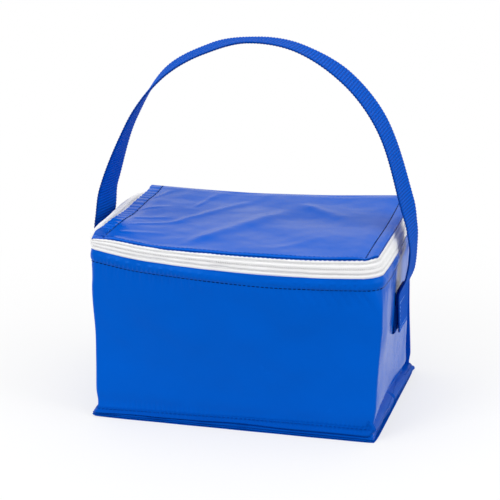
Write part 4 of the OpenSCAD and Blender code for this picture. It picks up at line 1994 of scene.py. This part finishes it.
    def box_of_stitches(self, side: int) -> None:
        """Rows of thread on the strap's foot: two across, one down each side, light thread as a
        painted highlight.

        Args:
            side: -1 for the left, 1 for the right.
        """
        name, half, line = side_name(side), self.box_half, self.box_top
        out_x = self.foot_x + self.thick / 2 - 0.15
        low = self.hinge[1] + ROUTE[0][2] * self.rise + 2.5
        rows = (((-half, line), (half, line)), ((-half, low), (half, low)),
                ((-half, low), (-half, line)), ((half, low), (half, line)))
        share = np.linspace(0, 1, 40)[:, None]
        for count, (start, end) in enumerate(rows):
            aside = np.array(start) + (np.array(end) - np.array(start)) * share
            path = spread(side * out_x, self.hinge[0] + aside[:, 0], aside[:, 1])
            outward = np.broadcast_to((float(side), 0.0, 0.0), path.shape)
            row = self.sewing.row(f"foot_stitches_{name}_{count}", path, outward, 2.9,
                                  (2.4, 0.6, 0.5), self.wear.painted_highlight_thread)
            fit(row, Body.HANDLE, self.wear.painted_highlight_thread)

    def build(self) -> None:
        """Builds the strap and both feet."""
        tree = self.ribs()
        self.strap(tree)
        for side in (-1, 1):
            self.foot(side, tree)


def merge(piece: Object) -> None:
    """Joins a piece's points that lie in one place.

    Args:
        piece: The piece, whose mesh is changed.
    """
    work = bmesh.new()
    work.from_mesh(piece.data)
    bmesh.ops.remove_doubles(work, verts=work.verts, dist=1e-6)
    bmesh.ops.dissolve_degenerate(work, edges=work.edges, dist=1e-7)
    work.to_mesh(piece.data)
    work.free()


# ---- padding and lining


@dataclass
class Lining:
    """What is inside: the foam panels, and the foil that covers them."""

    form: Form
    wear: Wardrobe
    clear: float = 0.8
    panel_steps: tuple[int, int] = (70, 50)
    foil_thick: float = 0.25
    foil_top: float = 119.0
    foil_front: float = 67.0

    def panel(self, start: Array, along: Array, up: Array) -> Array:
        """A flat grid on the square pattern.

        Args:
            start: Its first corner.
            along: The edge to its second corner.
            up: The edge to its last corner.

        Returns:
            The grid, not yet settled.
        """
        i = np.linspace(0, 1, self.panel_steps[0])[:, None, None]
        j = np.linspace(0, 1, self.panel_steps[1])[None, :, None]
        return start + along * i + up * j

    def foam(self) -> None:
        """The foam panels of the walls, the bottom and the lid."""
        ways = {"front": (1, 0, 2, 0), "back": (1, 0, 2, 1), "left": (0, 1, 2, 0),
                "right": (0, 1, 2, 1), "base": (2, 0, 1, 0), "lid": (2, 0, 1, 1)}
        for name, (flat, first, second, upper) in ways.items():
            low, high = span("foam_" + name)
            start, along, up = low.copy(), np.zeros(3), np.zeros(3)
            start[flat] = high[flat] if upper else low[flat]
            along[first], up[second] = (high - low)[first], (high - low)[second]
            grid = self.panel(start, along, up)
            outward = np.cross(along, up)[flat] > 0
            if outward != bool(upper):
                grid = grid[::-1]
            thick = (high - low)[flat]
            plan = swell(self.form.settle(grid), np.full(grid.shape[:2], -self.clear))
            piece = slab("foam_panel_" + name, plan, thick - self.clear - 0.4)
            fit(piece, Body.LID if name == "lid" else Body.BAG, self.wear.foam,
                ["foam_" + name])

    def crinkled(self, grid: Array, seed: int, lift: float = 0.0) -> Array:
        """Settles a grid and gives it stiff film's sharp creases.

        Args:
            grid: The grid on the square pattern.
            seed: The creases' seed.
            lift: How much higher than the grid the place lies whose moves it follows.

        Returns:
            The settled grid.
        """
        raised = np.array([0.0, 0.0, lift])
        plan = self.form.settle(grid + raised) - raised
        a, b = lengths(plan[:, plan.shape[1] // 2])[:, None], lengths(plan[plan.shape[0] // 2])
        sharp = np.abs(Ripple(seed, 16.0, 0.16, 6)(a, b[None, :]))
        return swell(plan, Ripple(seed + 1, 40.0, 0.05)(a, b[None, :]) - sharp * 0.8)

    def foil(self) -> None:
        """The foil round the walls, on the bottom and under the lid."""
        low, high = span("liner_walls")
        out = high[0] - self.form.wide
        depth = self.form.deep + out
        rows = [(z, 3.0, out) for z in np.linspace(low[2] + 0.1, self.foil_top, 56)]
        grid = self.form.band(rows, high[1])
        y = grid[..., 1]
        grid[..., 1] = np.where(y < 0, y * (self.foil_front / depth), y)
        walls = skin("foil_walls", self.crinkled(grid, 61)[::-1], self.foil_thick)
        x, z = np.linspace(-1, 1, 110)[:, None], np.linspace(low[2] + 0.1, high[2], 70)[None, :]
        flat = spread(high[0] * x, high[1] - 0.2, z)
        rear = skin("foil_rear", self.crinkled(flat, 63), self.foil_thick)
        fit(walls, Body.BAG, self.wear.foil, ["liner_walls"])
        fit(rear, Body.BAG, self.wear.foil)
        for node, body, up in (("liner_base", Body.BAG, True), ("liner_lid", Body.LID, False)):
            low, high = span(node)
            x = np.linspace(low[0], high[0], 110)[:, None]
            y = np.linspace(low[1], high[1], 80)[None, :]
            grid = spread(x, y, high[2] if up else low[2])
            lift = 0.0 if up else span("foam_lid")[1][2] - low[2]
            plan = self.crinkled(grid if up else grid[::-1], 71 if up else 81, lift)
            piece = skin("foil_" + ("bottom" if up else "lid"), plan, self.foil_thick)
            fit(piece, body, self.wear.foil, [node])

    def build(self) -> None:
        """Builds the padding and the lining."""
        self.foam()
        self.foil()


# ---- rows of thread


@dataclass
class Threads:
    """The rows of stitches that show on the cover."""

    form: Form
    wear: Wardrobe
    sewing: Sewing
    eye: Eye
    pitch: float = 3.2
    faint: float = 0.6
    plain_size: tuple[float, float, float] = (2.9, 0.75, 0.4)
    flange_size: tuple[float, float, float] = (2.4, 0.5, 0.35)
    seam_size: tuple[float, float, float] = (3.1, 1.05, 0.5)
    edge_size: tuple[float, float, float] = (2.3, 0.4, 0.3)

    def nominal(self, place: Array, height: float) -> Array:
        """Finds the place on the square pattern that settles to a given place.

        Args:
            place: The given place.
            height: A first guess at the height.

        Returns:
            The place on the pattern.
        """
        guess = np.array([place[0], place[1], height])
        for _ in range(12):
            guess = guess + (place - self.form.settle(guess))
        return guess

    def level(self, tree: BVHTree, points: Sequence[ImagePoint], height: float) -> float:
        """The height on the pattern of a row, from where image points meet its surface.

        Args:
            tree: The surface.
            points: The image points.
            height: A first guess.

        Returns:
            The height.
        """
        found = [self.nominal(self.eye.onto(tree, point), height)[2] for point in points]
        log.info("row near %.1f mm lies at %s", height, np.round(found, 2))
        return float(np.mean(found))

    def sew(self, name: str, tree: BVHTree, path: Array, outward: Array, body: Body,
            size: tuple[float, float, float] = plain_size, closed: bool = False) -> None:
        """Lays a row on a surface and dresses it.

        Args:
            name: What the row holds.
            tree: The surface.
            path: Places near it.
            outward: The direction away from it, at each place or at all.
            body: The body it rides on.
            size: A stitch's length, width and thickness.
            closed: Whether the row runs back to its start.
        """
        places, normals = laid(tree, path, np.broadcast_to(outward, path.shape), 0.05)
        thread = self.wear.thread if size[1] > self.faint else self.wear.seam_thread
        row = self.sewing.row("stitches_" + name, places, normals, self.pitch, size, thread, closed)
        fit(row, body, thread)

    def girdle(self, height: float, radius: float, out: float, closed: bool = False,
               settled: bool = True) -> tuple[Array, Array]:
        """A line round the bag.

        Args:
            height: Its height on the pattern.
            radius: The front corners' radius.
            out: How far outside the wall.
            closed: Whether it goes on along the back.
            settled: Whether its places are moved to where the standing bag holds them.

        Returns:
            The places, and the level direction away from the bag at each.
        """
        back = self.form.deep + (2.0 if closed else -1.5)
        plan = self.form.around(radius, out, back, closed)
        line = spread(plan[:, 0], plan[:, 1], height)
        way = np.gradient(line, axis=0)
        outward = unit(spread(way[:, 1], -way[:, 0], 0.0))
        return (self.form.settle(line) if settled else line), outward

    def build(self, cover: dict[str, Object], edges: dict[str, Object],
              shape: Cover) -> None:
        """Sews every row.

        Args:
            cover: The cover's pieces.
            edges: The sewn edges.
            shape: The cover, for its seams' places.
        """
        form, eye = self.form, self.eye
        rim = tree_of(edges["rim"], cover["wall"])
        height = self.level(rim, (eye.hem_left, eye.hem_mid, eye.hem_right), shape.hem_line)
        self.sew("hem", rim, *self.girdle(height, 7.0, 0.5), Body.BAG)
        flange = tree_of(edges["flange"])
        line, away = self.girdle(8.0, 1.8, 1.6, True, False)
        line[:, 2] += form.front_lift(line[:, 0], line[:, 1])
        self.sew("flange", flange, line, away, Body.BAG, self.flange_size, closed=True)
        top = tree_of(cover["top"])
        run = np.linspace(-form.deep + 3.0, form.deep - 3.0, 120)
        above, behind = np.array([0.0, 0.0, 1.0]), np.array([0.0, 1.0, 0.0])
        for name, seam in (("lid_left", shape.left_seam), ("lid_right", shape.right_seam)):
            path = form.settle(spread(seam, run, form.high))
            self.sew(name, top, path, above, Body.LID, self.seam_size)
        across = np.linspace(-form.wide + 4.0, form.wide - 7.0, 160)
        path = form.settle(spread(across, -form.deep + 2.0, form.high))
        self.sew("lid_front", top, path, above, Body.LID, self.edge_size)
        rise = np.linspace(10.0, form.high - 4.0, 90)
        for side in (-1, 1):
            name = "rear_" + side_name(side)
            path = spread(side * (form.wide - 5.0), form.deep + 2.0, rise)
            self.sew(name, tree_of(edges[name]), path, behind, Body.BAG)


# ---- studio


@dataclass
class Studio:
    """A pale floor, soft lamps and a white surround."""

    floor_size: float = 6.0
    floor_tone: float = 0.9
    floor_glow: float = 0.6
    floor_spare: float = 0.7
    shadow_reach: tuple[float, float] = (0.1, 0.42)
    world_light: float = 0.72
    middle: tuple[float, float, float] = (0.0, 0.0, 0.08)

    def floor(self) -> None:
        """The floor: it keeps the shadow close by, and is plain white further off."""
        mesh = bpy.data.meshes.new("floor")
        half = self.floor_size / 2
        mesh.from_pydata([(-half, -half, 0), (half, -half, 0), (half, half, 0), (-half, half, 0)],
                         [], [(0, 1, 2, 3)])
        floor = placed("floor", mesh)
        material = bpy.data.materials.new("floor_paper")
        material.use_nodes = True
        tree = material.node_tree
        shader = tree.nodes["Principled BSDF"]
        feed(shader, {"Base Color": (*(self.floor_tone,) * 3, 1.0), "Roughness": 0.8,
                      "Specular IOR Level": 0.1})
        bounced = fed(tree, "ShaderNodeLightPath", {}, "Is Diffuse Ray")
        spared = maths(tree, "MULTIPLY", bounced, self.floor_spare)
        glow = fed(tree, "ShaderNodeEmission", {"Color": WHITE,
                                                "Strength": maths(tree, "SUBTRACT", 1.0, spared)})
        reach = fed(tree, "ShaderNodeVectorMath", {0: here(tree)}, "Value", operation="LENGTH")
        near, far = self.shadow_reach
        fade = fed(tree, "ShaderNodeMapRange", {"Value": reach, "From Min": near, "From Max": far,
                                                "To Min": self.floor_glow},
                   interpolation_type="SMOOTHSTEP")
        mix = fed(tree, "ShaderNodeMixShader", {"Fac": fade, 1: shader.outputs["BSDF"], 2: glow})
        feed(tree.nodes["Material Output"], {"Surface": mix})
        mesh.materials.append(material)
        floor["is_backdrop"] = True

    def world(self) -> None:
        """A white surround to the camera and in reflections, and a softer one as light."""
        world = bpy.data.worlds.new("surround")
        world.use_nodes = True
        bpy.context.scene.world = world
        tree = world.node_tree
        seen, path = tree.nodes["Background"], named(tree, "ShaderNodeLightPath").outputs
        through = maths(tree, "MAXIMUM", path["Is Glossy Ray"], path["Is Transmission Ray"])
        either = maths(tree, "MAXIMUM", path["Is Camera Ray"], through)
        feed(seen, {"Color": WHITE})
        light = fed(tree, "ShaderNodeBackground", {"Color": WHITE, "Strength": self.world_light})
        mix = fed(tree, "ShaderNodeMixShader", {"Fac": either, 1: light, 2: seen.outputs[0]})
        feed(tree.nodes["World Output"], {"Surface": mix})

    def lamp(self, name: str, place: tuple[float, float, float], size: float, power: float) -> None:
        """A square soft lamp that looks at the bag's middle.

        Args:
            name: Its name.
            place: Where it stands, in metres.
            size: Its width in metres.
            power: Its power in watts.
        """
        data = bpy.data.lights.new(name, "AREA")
        data.size, data.energy = size, power
        lamp = placed(name, data)
        lamp.location = place
        toward = Vector(self.middle) - Vector(place)
        lamp.rotation_euler = toward.to_track_quat("-Z", "Y").to_euler()

    def build(self) -> None:
        """Builds the studio."""
        bpy.context.scene.view_settings.view_transform = "Standard"
        self.floor()
        self.world()
        self.lamp("above", (-0.1, 0.1, 1.5), 1.2, 3.5)
        self.lamp("front_left", (-0.9, -1.4, 0.9), 0.9, 13.0)
        self.lamp("right", (1.5, -0.3, 0.8), 0.9, 10.0)


# ---- making the bag


def visible_points() -> Array:
    """Every vertex of the bag's showing pieces, in millimetres."""
    return np.concatenate([
        vertices(thing) for thing in bpy.context.scene.objects
        if thing.type == "MESH" and not thing.hide_render and thing.name != "floor"])


def farthest(piece: Object, way: tuple[float, float, float]) -> Array:
    """The piece's vertex that lies farthest in a direction, in millimetres."""
    places = vertices(piece)
    return places[np.argmax(places @ np.array(way, float))]


def middle_of(thing: Object) -> Array:
    """The middle of a mesh's vertices' box, in millimetres."""
    places = vertices(thing)
    return (places.min(axis=0) + places.max(axis=0)) / 2


def report_points(eye: Eye, cover: dict[str, Object],
                  edges: dict[str, Object]) -> None:
    """Projects the showing pieces, and the pieces that stand for the image points, into the image.

    Args:
        eye: The camera.
        cover: The cover's pieces.
        edges: The sewn edges.
    """
    seen = eye.project(visible_points())
    places = {eye.lid_left: farthest(cover["top"], (-1, -1, 0.2)),
              eye.lid_back: farthest(cover["top"], (-1, 1, 1)),
              eye.lid_right: farthest(cover["top"], (0.7, -1, 0.2)),
              eye.base_left: farthest(edges["flange"], (-1, -1, -0.2)),
              eye.base_right: farthest(edges["flange"], (1, -1, -0.2)),
              eye.base_rear: farthest(edges["flange"], (1, 1, -0.2)),
              eye.slider: middle_of(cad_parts["zip_slider"])}
    for point, name in ((eye.hem_left, "stitches_hem"), (eye.hem_mid, "stitches_hem"),
                        (eye.hem_right, "stitches_hem"), (eye.lid_seam_left, "stitches_lid_left"),
                        (eye.lid_seam_right, "stitches_lid_right"), (eye.zip_mid, "zip_teeth_bag"),
                        (eye.strap_thin, "strap"), (eye.foot, "patch_right")):
        there = eye.project(vertices(bpy.data.objects[name]))


def corners() -> list[list[float]]:
    """The whole object's box, as plain lists."""
    return [[float(v) for v in corner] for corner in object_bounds()]


def main() -> None:
    """Builds the bag's pieces in order, then the studio, and projects the image points' pieces."""
    logging.basicConfig(level=logging.INFO, format="%(message)s")
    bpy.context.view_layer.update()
    eye = Eye()
    eye.build()
    form, wear, sewing = Form.measured(), Wardrobe(), Sewing()
    shape = Cover(form, wear)
    cover = shape.build()
    edges = Edges(form, wear).build(shape.outline)
    Zip(form, wear, sewing).build()
    Handle(form, wear, sewing).build()
    Lining(form, wear).build()
    Threads(form, wear, sewing, eye).build(cover, edges, shape)
    Studio().build()
    report_points(eye, cover, edges)


if __name__ == "__main__":
    main()
